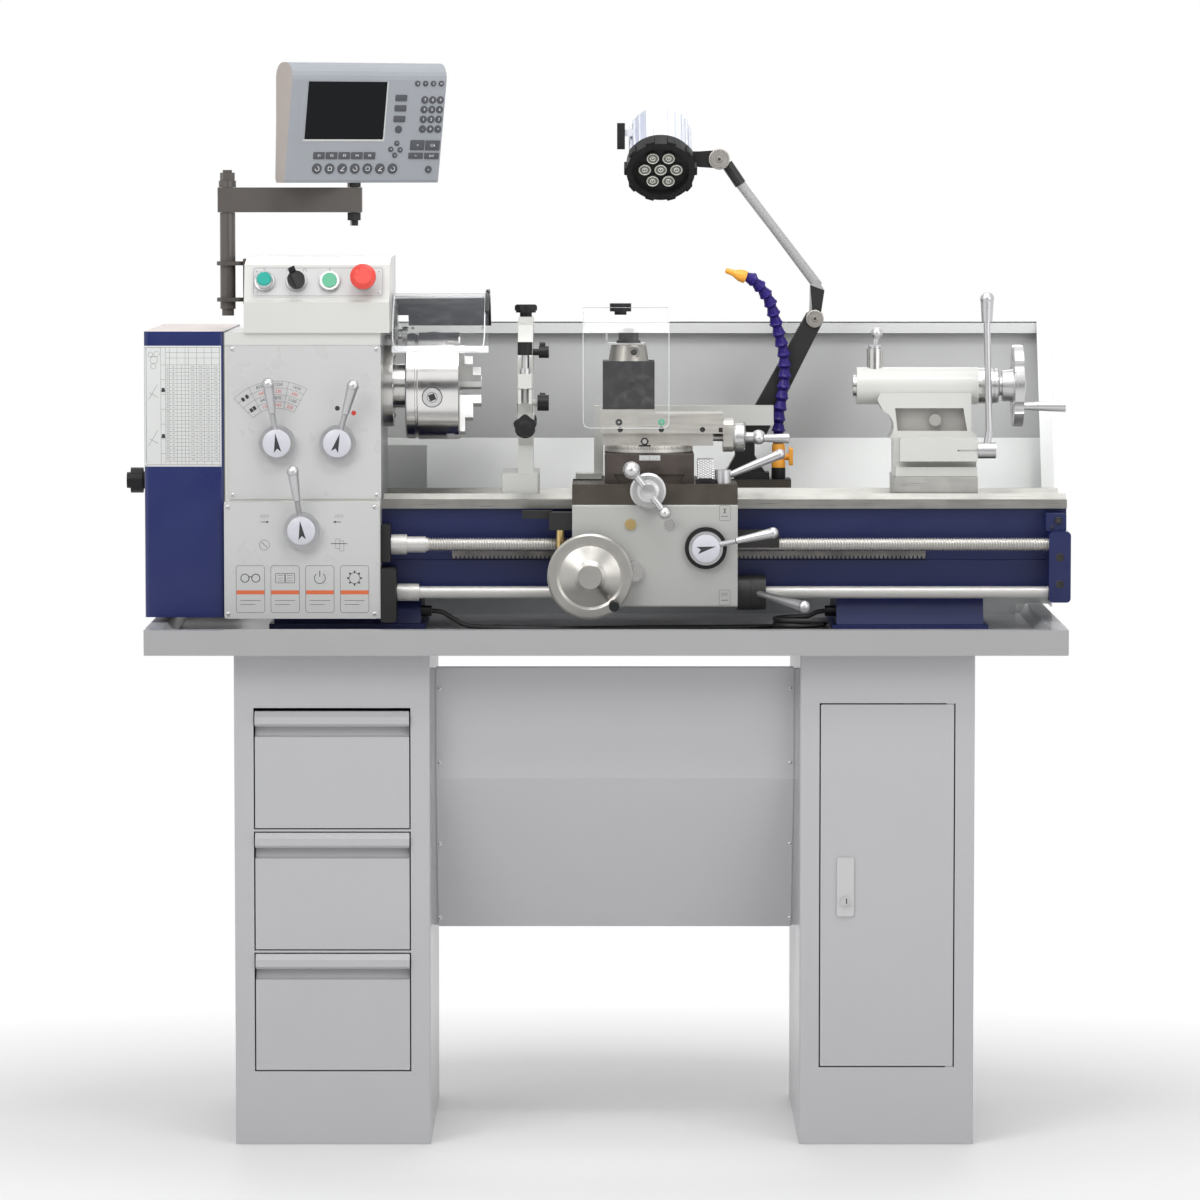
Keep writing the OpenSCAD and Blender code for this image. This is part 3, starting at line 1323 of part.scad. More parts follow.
module tool_guard() {
  z0 = top_z + top_h + gap + post_h + 24;
  x = post_c[0];
  y = post_c[1];
  knob_x = x - 12;
  front = y - 62;
  t = 3;
  top = z0 + 44;
  color([0.85, 0.9, 0.95, 0.4]) at_bed() difference() {
    profile_x([-25, 102], [
      [front, z0 - 122], [front + t, z0 - 122], [front + t, top - 27], [y - 14, top - t],
        [y + 12, top - t], [y + 12, top],
      [y - 15, top], [front, top - 25]
    ]);
    rod_z([top - t - 1, top + 1], 4, knob_x, y);
  }
  color("white") at_bed() {
    block([knob_x - 22, knob_x + 22], [y - 10, y + 10], [top - t - 3, top - t]);
    block([knob_x - 22, knob_x - 19], [y - 8, y + 8], [z0 + 2.5, top - t]);
    difference() {
      block([knob_x - 22, x + 24], [y - 22, y + 22], [z0 - 0.2 + gap, z0 + 2.5]);
      rod_z([z0 - 1, z0 + 6], 18 + pass_gap, x, y);
    }
  }
  color(black) at_bed() {
    rod_z([top - 6, top + 5], 4, knob_x, y);
    rod_z([top, top + 5], 9, knob_x, y);
    translate([knob_x, y, top + 5]) cylinder(h = 12, r = 16, $fn = 24);
  }
}

module carriage_lock_lever() {
  h = saddle_h;
  color(steel) at_bed() translate([lock_c[0], lock_c[1], h]) {
    rod_z([gap, 20], 12);
    rod_z([-18, 1], 6);
    taper([6, 0, 11], [84, 0, 43], 4.5, 7.5);
    translate([84, 0, 43]) sphere(r = 8);
  }
}

module spindle_control_lever() {
  x = apron_x[1] + 20 + gap;
  y = screw_y;
  z = rod_z + centre_height;
  tip = [x + 76, y - 92, z - 14];
  color(black) at_bed() difference() {
    rod_x([x, x + 22], 26, y, z);
    rod_x([x - 1, x + 23], feed_rod_r + 0.5, y, z);
  }
  color(steel) at_bed() {
    taper([x + 11, y - 22, z], [x + 34, y - 48, z - 5], 5, 5);
    taper([x + 34, y - 48, z - 5], tip, 5.5, 8.5);
    translate(tip) sphere(r = 9);
  }
}

// --- tailstock

tail_x = [439, 439 + tail_base_len];
barrel_x = [384.5, 384.5 + barrel_len];
quill_end = barrel_x[0] - 5;
lock_x = 412;
clamp_y = -58;
clamp_z = -94;
tail_low = -centre_height + gap;
tail_joint = -centre_height + tail_base_h;

module tailstock_body() {
  x0 = tail_x[0];
  x1 = tail_x[1];
  color(casting) at_axis() difference() {
    union() {
      rod_x(barrel_x, barrel_r);
      // neck that sweeps back from the barrel to the base
      profile_y([-34, 34], concat(
        [[x1 - 8, -10], [x1 - 8, -66], [x1, -72], [x1, tail_joint], [x0, tail_joint], [x0, -78]],
        arc([x0 - 26, -60], 26, -40, 66, 8), [[barrel_x[0] + 30, -20], [barrel_x[0] + 34, -10]]));
      block([x0 + 2, x1], [-56, 56], [tail_joint, tail_joint + 14]);
      block([x0 + 8, x1], [clamp_y - 8, -30], [clamp_z - 16, clamp_z + 18]);
      rod_z([20, 56], 12, lock_x, 0);
    }
    rod_x([barrel_x[0] - 1, barrel_x[1] + 1], quill_r + run_fit);
    rod_z([0, 57], 6 + run_fit, lock_x, 0);
    for (y = [[-35, -22], [22, 35]]) profile_y(y, [[x0 + 6, -66], [x0 + 2, -32], [x1 - 20, -32], [x1 - 14, -66]]);
    rod_x([x1 - 30, x1 + 1], 8 + run_fit, clamp_y, clamp_z);
  }
  color([0.78, 0.77, 0.74]) at_axis() difference() {
    union() {
      block([x0, x1], [-70, 80], [tail_low, tail_joint - gap]);
      rod_z([-centre_height - way_t - 14, tail_low + 1], 7, (x0 + x1) / 2, 0);
      block([x0 + 20, x1 - 20], [-66, 66], [-centre_height - way_t - 14,
        -centre_height - way_t - gap]);
    }
    translate([0, 0, -centre_height]) vee_groove([x0 - 1, x1 + 1], rear_vee);
    block([x0 - 1, x1 + 1], [front_vee - vee - 1, front_vee + vee + 1],
      [tail_low - 1, tail_low + vee + 1]);
  }
  // tapered seat, clamp screw in the cast window, and the end cap
  color(steel) at_axis() {
    block([x0 + 2, x1 - 2], [-48, 48], [tail_joint - gap, tail_joint]);
    rod_y([-31, -22], 9, x0 + 62, -50);
    difference() {
      rod_x([barrel_x[1], barrel_x[1] + 14], barrel_r - 1);
      rod_x([barrel_x[1] - 1, barrel_x[1] + 15], 8 + run_fit);
    }
  }
}

module quill() {
  color(steel) at_axis() difference() {
    rod_x([quill_end, quill_end + 130], quill_r);
    rod_x([quill_end - 1, quill_end + socket_d], socket_r);
    rod_x([quill_end + socket_d + 6, quill_end + 131], 9);
  }
}

module tailstock_handwheel() {
  x = barrel_x[1] + 14 + gap;
  lobes = 6;
  wheel_x = x + 38;
  a = 215;
  color(steel) at_axis() {
    translate([x, 0, 0]) rotate([90, 0, 90]) rotate_extrude($fn = 64) polygon([
      [0, 0], [26, 0], [26, 15], [24, 17], [15, 18], [15, 22], [23, 22], [25, 38], [25, 52], [20, 56],
        [0, 58]
    ]);
    rod_x([barrel_x[1] - 45, x + 1], 8);
    difference() {
      rod_x([wheel_x, wheel_x + 14], tail_wheel_r);
      rod_x([wheel_x - 1, wheel_x + 15], 24);
      for (i = [0:lobes - 1]) rotate([i * 360 / lobes + 30, 0, 0]) {
        rod_x([wheel_x - 1, wheel_x + 15], 12, tail_wheel_r + 5, 0);
        rod_x([wheel_x - 1, wheel_x + 15], 9, 38, 0);
      }
    }
    rotate([a, 0, 0]) {
      rod_x([wheel_x + 14, wheel_x + 22], 6, 50, 0);
      translate([wheel_x + 22, 50, 0]) rotate([0, 90, 0]) cylinder(h = 54, r1 = 6, r2 = 9);
    }
  }
}

module quill_lock() {
  color(steel) at_axis() {
    rod_z([quill_r + 4, 57], 6, lock_x, 0);
    rod_z([56 + gap, 61], 10, lock_x, 0);
    taper([lock_x, 0, 60], [lock_x + 3, 0, 76], 4, 4);
    translate([lock_x + 3, 0, 79]) sphere(r = 9);
  }
}

module clamp_lever() {
  x = tail_x[1];
  color(steel) at_axis() translate([x, clamp_y, clamp_z]) {
    rod_x([-28, 2], 8);
    rod_x([gap, 27], 12);
    taper([14, 0, 8], [17, 0, 30], 6, 5);
    taper([17, 0, 30], [13, 0, 192], 5, 5);
    taper([13, 0, 192], [13, 0, 226], 8, 10);
    translate([13, 0, 226]) sphere(r = 10.5);
  }
}

// --- lamp and coolant line

lamp_pivot = [327, 97];
lamp_elbow = [330, 142];
lamp_tip = [209, 308];
lamp_head_pivot = [181, 339];
lamp_head_c = [92, 330];
lamp_tilt = 35;
lamp_y = lamp_c[1];

module lamp_lower_arm() {
  foot_z = lamp_plate_z[1] - centre_height;
  color(black) at_axis() {
    rod_z([foot_z - 13, foot_z + 1], 8, lamp_c[0], lamp_y);
    slab_z([lamp_c[0] - 36, lamp_c[0] + 36], [lamp_y - 24, lamp_y + 24],
      [foot_z + gap, foot_z + 10], 4);
    profile_y([lamp_y - 17, lamp_y + 17], [[lamp_c[0] - 30, foot_z + 10], [lamp_c[0] + 30, foot_z + 10],
      [lamp_c[0] + 14, foot_z + 36], [lamp_c[0] + 14, foot_z + 58], [lamp_c[0] - 16, foot_z + 58],
        [lamp_c[0] - 16, foot_z + 36]]);
    difference() {
      // arm of folded sheet, open along its upper side
      profile_y([lamp_y - 15, lamp_y + 15], [[lamp_c[0] - 16, foot_z + 56],
        [lamp_c[0] + 26, foot_z + 56],
        [lamp_pivot[0] + 12, lamp_pivot[1] - 6], [lamp_pivot[0] + 12, lamp_pivot[1] + 8],
          [lamp_pivot[0] + 2, lamp_pivot[1] + 14],
        [lamp_pivot[0] - 12, lamp_pivot[1] + 8]]);
      profile_y([lamp_y - 11, lamp_y + 11], [[lamp_c[0] + 8, foot_z + 80],
        [lamp_pivot[0] - 26, lamp_pivot[1] - 26],
        [lamp_pivot[0] + 30, lamp_pivot[1] - 26], [lamp_pivot[0] + 30, lamp_pivot[1] + 30],
          [lamp_pivot[0] - 30, lamp_pivot[1] + 30],
        [lamp_c[0] - 40, foot_z + 90]]);
      rod_y([lamp_y - 16, lamp_y + 16], 6, lamp_pivot[0], lamp_pivot[1]);
    }
  }
  color(steel) at_axis() {
    rod_y([lamp_y - 18, lamp_y + 18], 6, lamp_pivot[0], lamp_pivot[1]);
    rod_y([lamp_y - 19, lamp_y - 15], 13, lamp_pivot[0], lamp_pivot[1]);
    rod_y([lamp_y + 15, lamp_y + 19], 13, lamp_pivot[0], lamp_pivot[1]);
  }
}

module lamp_upper_arm() {
  sleeve = lamp_tip + [-16, 24];
  color(black) at_axis() {
    difference() {
      union() {
        rod_y([lamp_y - 10.5, lamp_y + 10.5], 12, lamp_pivot[0], lamp_pivot[1]);
        profile_y([lamp_y - 8, lamp_y + 8], [lamp_pivot + [-8, 4], lamp_pivot + [9, 2],
          lamp_elbow + [12, -2], lamp_elbow + [2, 14],
                           lamp_elbow + [-10, 6]]);
      }
      rod_y([lamp_y - 11, lamp_y + 11], 6 + run_fit, lamp_pivot[0], lamp_pivot[1]);
    }
    taper([lamp_tip[0] + 5, lamp_y, lamp_tip[1] - 7], [sleeve[0], lamp_y, sleeve[1]], 9, 9);
    difference() {
      rod_y([lamp_y - 9, lamp_y + 9], 13, lamp_head_pivot[0], lamp_head_pivot[1]);
      rod_y([lamp_y - 10, lamp_y + 10], 5, lamp_head_pivot[0], lamp_head_pivot[1]);
    }
  }
  color(steel) at_axis() {
    taper([lamp_elbow[0] + 2, lamp_y, lamp_elbow[1] + 3], [lamp_tip[0] + 3, lamp_y, lamp_tip[1] - 3],
      7, 7);
    rod_y([lamp_y - 24, lamp_y + 9], 5, lamp_head_pivot[0], lamp_head_pivot[1]);
    rod_y([lamp_y - 27, lamp_y - 23], 14, lamp_head_pivot[0], lamp_head_pivot[1]);
  }
}

module lamp_head() {
  p = lamp_head_pivot;
  y = [lamp_y - 22, lamp_y - 10];
  color(black) at_axis() difference() {
    profile_y(y, concat(arc(p, 14, -100, 100, 10), [[p[0] - 30, p[1] + 12], [p[0] - 42, p[1] + 12],
      [p[0] - 42, p[1] - 10], [p[0] - 30, p[1] - 12]]));
    rod_y([y[0] - 1, y[1] + 1], 5 + run_fit, p[0], p[1]);
  }
  at_axis() translate([lamp_head_c[0], lamp_y - 20, lamp_head_c[1]]) rotate([90 + lamp_tilt, 0, 0]) {
    color(black) difference() {
      translate([0, 0, -6]) cylinder(h = 24, r = 52);
      translate([0, 0, 8]) cylinder(h = 20, r = 43);
      for (a = [0:20:340]) rotate(a) translate([53, -3, -8]) cube([6, 6, 30]);
    }
    color([0.8, 0.8, 0.82]) {
      translate([0, 0, -90]) cylinder(h = 84, r = 45);
      translate([0, 0, -98]) cylinder(h = 8, r = 36);
      for (a = [0:15:345]) rotate(a) translate([43, -1.2, -86]) cube([5, 2.4, 76]);
    }
    color("lightyellow") for (a = [0:60:300], r = [0, 24]) if (r > 0 || a == 0)
      rotate(a) translate([r, 0, 7]) cylinder(h = 6, r1 = 8, r2 = 9.5);
  }
  // grip on the left of the head
  color(black) at_axis() {
    block([lamp_head_c[0] - 66, lamp_head_c[0] - 38], [lamp_y + 8, lamp_y + 18],
      [lamp_head_c[1] + 44, lamp_head_c[1] + 54]);
    translate([lamp_head_c[0] - 66, lamp_y + 4, lamp_head_c[1] + 24]) cube([12, 18, 40]);
  }
}

// Smooth curve through points, a number of steps to each length
function bend(p, i, t) = let (a = p[max(i - 1, 0)], b = p[i], c = p[i + 1],
  d = p[min(i + 2, len(p) - 1)])
  b + (c - a) * t / 2 + (2 * a - 5 * b + 4 * c - d) * t * t / 2 + (3 * b - a - 3 * c + d)
    * t * t * t / 2;
function curve(p, length, steps) = [
  for (i = [0:len(p) - 2])
    let (n = steps * max(1, round(norm(p[i + 1] - p[i]) / length)))
    for (k = [0:n - 1]) bend(p, i, k / n),
  p[len(p) - 1]
];

function unit(v) = v / norm(v);
function direction(p, i) = unit(p[min(i + 1, len(p) - 1)] - p[max(i - 1, 0)]);

// Round tube along a list of points as one closed body; its radii repeat along it
module tube(p, radii, across, sides = 10) {
  n = len(p);
  rings = [
    for (i = [0:n - 1])
      let (d = direction(p, i), s = unit(cross(across, d)), u = cross(d, s))
      for (k = [0:sides - 1])
        p[i] + radii[i % len(radii)] * (cos(360 * k / sides) * s + sin(360 * k / sides) * u)
  ];
  walls = [
    for (i = [0:n - 2], k = [0:sides - 1])
      let (a = i * sides + k, b = i * sides + (k + 1) % sides)
      [a, a + sides, b + sides, b]
  ];
  caps = [[for (k = [0:sides - 1]) k], [for (k = [sides - 1:-1:0]) (n - 1) * sides + k]];
  polyhedron(points = rings, faces = concat(walls, caps), convexity = 4);
}

// Middle line of the hose, from the valve up and over towards the work
hose_path = [
  [272, 128, 54], [272, 128, 70], [273, 126, 100], [277, 124, 140], [281, 121, 180], [281, 116, 215],
  [276, 108, 250], [268, 98, 285], [256, 88, 312], [242, 80, 328], [226, 74, 334]
];

module coolant_hose() {
  z = lamp_plate_z[1];
  v = valve_c;
  tip = hose_path[len(hose_path) - 1];
  color(black) at_bed() rod_z([z, z + 20], 10, v[0], v[1]);
  color("orange") at_bed() {
    rod_z([z + 20, z + 38], 8.5, v[0], v[1]);
    rod_x([v[0], v[0] + 16], 5, v[1], z + 29);
    block([v[0] + 15, v[0] + 21], [v[1] - 4, v[1] + 4], [z + 16, z + 44]);
    taper(tip + [6, 2, -1], tip + [-33, -8, 12], 8, 4);
  }
  color([0.14, 0.06, 0.5]) at_bed() tube(curve(hose_path, 18.5, 4), [7, 9.2, 9.2, 8], [1, 0, 0], 12);
}

// --- cables

cable_d = 7;
coil_r = 35;
coil_c = [298, -98];
coil_rows = 3;
// route from the left gland to the coil, on the tray floor
lead_in = [
  [-251, -60, 775], [-236, -60, 773], [-218, -61, 763], [-200, -64, 754], [-184, -68, 752],
  [-150, -80, 752], [-110, -92, 752], [-60, -98, 752], [0, -96, 752], [60, -88, 752], [110, -82, 752],
  [160, -80, 752], [210, -74, 752], [250, -64, 752], [275, -60, 752], [298, -59, 752]
];
// route from the top of the coil into the right gland
lead_out = [[298, -59, 766], [310, -59, 767], [323, -60, 773], [335, -60, 775]];

module tray_cable() {
  color(black) {
    tube(curve(lead_in, 16, 1), [cable_d / 2], [0, 0, 1]);
    tube(curve(lead_out, 8, 1), [cable_d / 2], [0, 0, 1]);
  }
}

module cable_coil() {
  color(black) translate([coil_c[0], coil_c[1], stand_h]) rotate_extrude()
    polygon(rounded(coil_r - cable_d, coil_r + cable_d, gap, cable_d * coil_rows + gap, 3,
      3));
}

// --- assembly

chip_tray();
cabinets();
drawer_top();
drawer_middle();
drawer_bottom();
cabinet_door();
bed();
leadscrew();
feed_rod();
end_bracket();
splash_guard();
headstock_casing();
front_plates();
gear_cover();
gear_cover_knob();
idler_gear();
input_gear();
drive_motor();
spindle();
chuck_body();
chuck_jaw_1();
chuck_jaw_2();
chuck_jaw_3();
chuck_guard();
speed_lever_left();
speed_lever_right();
feed_lever();
control_box();
selector_switch();
start_button();
emergency_stop();
dro_bracket();
dro_arm();
dro_display();
steady_rest_base();
steady_rest_top();
saddle();
apron();
carriage_handwheel();
half_nut_lever();
cross_slide();
cross_slide_crank();
compound_base();
top_slide();
top_slide_crank();
tool_post();
tool_guard();
carriage_lock_lever();
spindle_control_lever();
tailstock_body();
quill();
tailstock_handwheel();
quill_lock();
clamp_lever();
lamp_lower_arm();
lamp_upper_arm();
lamp_head();
coolant_hose();
tray_cable();
cable_coil();
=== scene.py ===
import json
from collections import namedtuple
from math import atan2, cos, degrees, dist, hypot, pi, radians, sin, tau

import bmesh
import bpy
from mathutils import Matrix, Vector


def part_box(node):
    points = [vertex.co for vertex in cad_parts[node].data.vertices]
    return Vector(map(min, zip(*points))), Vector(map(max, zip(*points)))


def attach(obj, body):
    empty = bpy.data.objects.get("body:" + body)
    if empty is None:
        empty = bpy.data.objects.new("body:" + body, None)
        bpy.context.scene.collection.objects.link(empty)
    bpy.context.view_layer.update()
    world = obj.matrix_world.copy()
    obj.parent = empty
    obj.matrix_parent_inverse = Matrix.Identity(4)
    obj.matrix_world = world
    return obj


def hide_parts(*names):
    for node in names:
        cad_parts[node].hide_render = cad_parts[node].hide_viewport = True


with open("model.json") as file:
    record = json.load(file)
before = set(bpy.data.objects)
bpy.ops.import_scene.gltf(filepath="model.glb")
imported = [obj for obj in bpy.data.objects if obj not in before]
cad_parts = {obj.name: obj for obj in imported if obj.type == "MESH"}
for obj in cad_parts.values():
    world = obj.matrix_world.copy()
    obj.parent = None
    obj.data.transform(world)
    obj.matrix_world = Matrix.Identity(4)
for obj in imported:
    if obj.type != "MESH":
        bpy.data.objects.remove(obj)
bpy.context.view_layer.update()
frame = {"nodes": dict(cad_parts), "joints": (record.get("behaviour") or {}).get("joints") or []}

nodes = frame["nodes"]
MM = 0.001
joint_at = {j["name"]: Vector(j["pos_m"]) for j in frame["joints"] if j.get("pos_m")}
joint_axis = {j["name"]: Vector(j["axis"]) for j in frame["joints"]}
spindle = joint_at["spindle_turn"]
bed_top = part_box("saddle")[0].z + 4 * MM


# ---- node helpers

def feed(tree, socket, value):
    """Links a socket to another, or sets it."""
    if isinstance(value, bpy.types.NodeSocket):
        tree.links.new(value, socket)
    else:
        socket.default_value = value


def connect(tree, made, **values):
    """Feeds a node's sockets by name, with _ for a space."""
    for key, value in values.items():
        feed(tree, made.inputs[key.replace("_", " ")], value)


def add(tree, kind, *values, **named):
    """A shader node: values for its sockets in order, then for its settings or sockets by name."""
    made = tree.nodes.new(kind)
    for key, value in named.items():
        if hasattr(made, key):
            setattr(made, key, value)
        else:
            connect(tree, made, **{key: value})
    for socket, value in zip(made.inputs, values):
        feed(tree, socket, value)
    return made


def maths(tree, operation, a, b=0.0, clamp=False):
    return add(tree, "ShaderNodeMath", a, b, operation=operation, use_clamp=clamp).outputs[0]


def ramp(tree, value, low, high, to_low=0.0, to_high=1.0):
    made = add(tree, "ShaderNodeMapRange", Value=value, From_Min=low, From_Max=high, To_Min=to_low, To_Max=to_high)
    return made.outputs["Result"]


def blend_colors(tree, factor, a, b):
    made = add(tree, "ShaderNodeMix", data_type="RGBA")
    for i, value in ((0, factor), (6, a), (7, b)):
        feed(tree, made.inputs[i], value)
    return made.outputs[2]


def place(tree, centre=(0, 0, 0), scale=(1, 1, 1)):
    """Object coordinates about a centre, stretched by a scale."""
    coordinates = add(tree, "ShaderNodeTexCoord").outputs["Object"]
    moved = add(tree, "ShaderNodeVectorMath", coordinates, centre, operation="SUBTRACT")
    return add(tree, "ShaderNodeVectorMath", moved.outputs[0], scale, operation="MULTIPLY").outputs[0]


def noise(tree, scale, detail=4.0, vector=None):
    made = add(tree, "ShaderNodeTexNoise", Scale=scale, Detail=detail)
    tree.links.new(vector or place(tree), made.inputs["Vector"])
    return made.outputs["Fac"]


def bands(tree, pitch, centre, kind="BANDS", direction="X", distortion=0.0):
    """Lines across an axis, or rings about it, one each pitch; 0 to 1."""
    made = add(tree, "ShaderNodeTexWave", wave_type=kind, Scale=pi / (10 * pitch), Distortion=distortion, Detail=2.0)
    setattr(made, "bands_direction" if kind == "BANDS" else "rings_direction", direction)
    tree.links.new(place(tree, centre), made.inputs["Vector"])
    return made.outputs["Fac"]


def bump(tree, height, strength, distance):
    return add(tree, "ShaderNodeBump", Strength=strength, Distance=distance, Height=height).outputs["Normal"]


def shade(color, factor):
    return tuple(min(1.0, c * factor) for c in color) + (1.0,)


def new_material(name, color, roughness, metallic=0.0, **settings):
    made = bpy.data.materials.new(name)
    made.use_nodes = True
    shader = made.node_tree.nodes["Principled BSDF"]
    connect(made.node_tree, shader, Base_Color=(*color, 1.0), Roughness=roughness, Metallic=metallic)
    connect(made.node_tree, shader, **settings)
    return made, made.node_tree, shader


# ---- finishes

def enamel(name, color, roughness=0.32, mottle=0.05, peel=0.1, chips=0.0, coat=0.3):
    """Sprayed enamel: faint orange peel, uneven gloss, and worn edges where chips is set."""
    made, tree, shader = new_material(name, color, roughness, Coat_Weight=coat, Coat_Roughness=0.12)
    cloud = noise(tree, 9.0, 5.0)
    fine = noise(tree, 420.0, 2.0)
    tone = blend_colors(tree, cloud, shade(color, 1 - mottle), shade(color, 1 + mottle))
    if chips:
        edge = add(tree, "ShaderNodeBevel", samples=3, Radius=1.2 * MM)
        flat = add(tree, "ShaderNodeNewGeometry")
        meeting = add(tree, "ShaderNodeVectorMath", edge.outputs[0], flat.outputs["Normal"], operation="DOT_PRODUCT")
        sharp = ramp(tree, meeting.outputs["Value"], 0.97, 0.8)
        worn = ramp(tree, maths(tree, "MULTIPLY", sharp, noise(tree, 60.0, 6.0)), 0.42, 0.5)
        tone = blend_colors(tree, maths(tree, "MULTIPLY", worn, chips), tone, (0.32, 0.31, 0.3, 1))
    gloss = ramp(tree, noise(tree, 25.0), 0.3, 0.7, roughness - 0.05, roughness + 0.08)
    connect(tree, shader, Base_Color=tone, Roughness=gloss)
    if peel:
        connect(tree, shader, Normal=bump(tree, fine, peel, 0.15 * MM))
    return made


def machined(name, color, centre, axis="X", roughness=0.24, pitch=0.7 * MM, marks=0.1, smudge=0.05):
    """Turned metal: fine tool marks round an axis, faint stains and scratches."""
    made, tree, shader = new_material(name, color, roughness, 1.0)
    rings = bands(tree, pitch, centre, "RINGS", axis)
    lines = bands(tree, pitch, centre, "BANDS", axis)
    both = maths(tree, "ADD", rings, lines)
    stains = noise(tree, 22.0, 6.0)
    tone = blend_colors(tree, ramp(tree, stains, 0.35, 0.75), shade(color, 1 + smudge), shade(color, 1 - smudge))
    gloss = ramp(tree, noise(tree, 90.0, 5.0), 0.3, 0.75, roughness - 0.03, roughness + 0.05)
    connect(tree, shader, Base_Color=tone, Roughness=gloss, Normal=bump(tree, both, marks, 0.05 * MM))
    return made


def ground_metal(name, color, along, roughness=0.34, metallic=0.9, contrast=0.18):
    """Ground or planed metal: long fine scratches one way, and darker oily patches."""
    made, tree, shader = new_material(name, color, roughness, metallic)
    stretch = [600.0, 600.0, 600.0]
    stretch["XYZ".index(along)] = 14.0
    scratches = noise(tree, 1.0, 3.0, place(tree, (0, 0, 0), stretch))
    patches = noise(tree, 30.0, 6.0)
    tone = blend_colors(tree, ramp(tree, patches, 0.35, 0.7), shade(color, 1 + contrast), shade(color, 1 - contrast))
    gloss = ramp(tree, scratches, 0.25, 0.75, roughness - 0.1, roughness + 0.14)
    connect(tree, shader, Base_Color=tone, Roughness=gloss, Normal=bump(tree, scratches, 0.3, 0.06 * MM))
    return made


def moulded(name, color, roughness=0.45, grain=0.25, size=900.0, mottle=0.06, **settings):
    """Moulded plastic or rubber with a fine even texture."""
    made, tree, shader = new_material(name, color, roughness, 0.0, **settings)
    tone = blend_colors(tree, noise(tree, 15.0, 5.0), shade(color, 1 - mottle), shade(color, 1 + mottle))
    gloss = ramp(tree, noise(tree, 50.0), 0.3, 0.7, roughness - 0.06, roughness + 0.08)
    connect(tree, shader, Base_Color=tone, Roughness=gloss)
    if grain:
        connect(tree, shader, Normal=bump(tree, noise(tree, size, 2.0), grain, 0.08 * MM))
    return made


def clear_plastic(name, tint, body):
    """Clear sheet: mostly see-through, with gloss, faint haze and scuffs."""
    made, tree, shader = new_material(name, tint, 0.06, 0.0, Specular_IOR_Level=0.25)
    scuffs = ramp(tree, noise(tree, 70.0, 8.0), 0.5, 0.8, 0.0, 0.03)
    haze = maths(tree, "ADD", scuffs, body)
    connect(tree, shader, Alpha=haze, Roughness=ramp(tree, noise(tree, 30.0), 0.3, 0.8, 0.03, 0.16))
    return made


NAVY = (0.01, 0.019, 0.115)
CREAM = (0.64, 0.645, 0.615)
SHEET = (0.5, 0.5, 0.515)

navy = enamel("navy_enamel", NAVY, 0.32, 0.08, 0.1, 0.0, 0.15)
bed_navy = enamel("bed_navy", (0.006, 0.012, 0.08), 0.38, 0.1, 0.1, 0.0, 0.0)
cream = enamel("cream_enamel", CREAM, 0.38, 0.03, 0.12, 0.25)
stand_grey = enamel("stand_enamel", SHEET, 0.46, 0.02, 0.1)
tray_grey = enamel("tray_enamel", (0.385, 0.385, 0.392), 0.36, 0.05, 0.1)
guard_grey = enamel("guard_enamel", (0.6, 0.605, 0.605), 0.42, 0.03, 0.1)
white_plate = enamel("white_plate", (0.575, 0.58, 0.575), 0.3, 0.015, 0.04)
brown_grey = enamel("bracket_enamel", (0.085, 0.075, 0.068), 0.4, 0.1, 0.1)
machine_grey = enamel("machinery_enamel", (0.06, 0.07, 0.09), 0.45, 0.1, 0.15, 0.2)
black_enamel = enamel("black_enamel", (0.01, 0.0095, 0.0095), 0.42, 0.1, 0.08, 0.0, 0.0)
turned = machined("turned_steel", (0.62, 0.61, 0.59), spindle)
wheel_steel = machined("wheel_steel", (0.46, 0.447, 0.42), joint_at["carriage_wheel_turn"], "Y", 0.34, 1.1 * MM, 0.2)
wheel_steel.node_tree.nodes["Principled BSDF"].inputs["Anisotropic"].default_value = 0.6
bright = moulded("polished_steel", (0.6, 0.6, 0.6), 0.3, 0.0, 900.0, 0.02, Metallic=0.8)
ways = ground_metal("ground_ways", (0.33, 0.325, 0.305), "X", 0.34, 0.9, 0.08)
saddle_iron = ground_metal("saddle_iron", (0.085, 0.073, 0.06), "Y", 0.42, 0.7, 0.15)
slide_iron = ground_metal("slide_iron", (0.105, 0.088, 0.08), "Y", 0.38, 0.8, 0.18)
top_iron = ground_metal("top_slide_steel", (0.55, 0.53, 0.495), "X", 0.36, 0.75, 0.06)
dark_iron = moulded("dark_iron", (0.012, 0.0115, 0.0125), 0.55, 0.06, Specular_IOR_Level=0.25)
rack_iron = ground_metal("rack_iron", (0.2, 0.19, 0.18), "X", 0.45, 0.9, 0.3)
brass = machined("brass", (0.62, 0.46, 0.2), spindle, "X", 0.3)
black_plastic = moulded("black_plastic", (0.012, 0.012, 0.013), 0.42, 0.15, Specular_IOR_Level=0.3)
readout_grey = moulded("readout_plastic", (0.315, 0.335, 0.365), 0.48, 0.35, 1200.0)
red_plastic = moulded("red_plastic", (0.7, 0.055, 0.04), 0.28, 0.05)
green_plastic = moulded("green_plastic", (0.1, 0.42, 0.25), 0.3, 0.05)
teal_lens = moulded("teal_lens", (0.01, 0.36, 0.3), 0.12, 0.02)
hose_blue = moulded("hose_blue", (0.018, 0.006, 0.15), 0.34, 0.05, Specular_IOR_Level=0.3)
hose_orange = moulded("hose_orange", (0.95, 0.42, 0.045), 0.38, 0.05)
lamp_silver = enamel("lamp_silver", (0.8, 0.81, 0.85), 0.36, 0.02, 0.03)
arm_grey = enamel("arm_aluminium", (0.37, 0.37, 0.37), 0.46, 0.02, 0.0)
shaft_steel = moulded("shaft_steel", (0.58, 0.57, 0.55), 0.36, 0.0, 900.0, 0.03, Metallic=0.35)
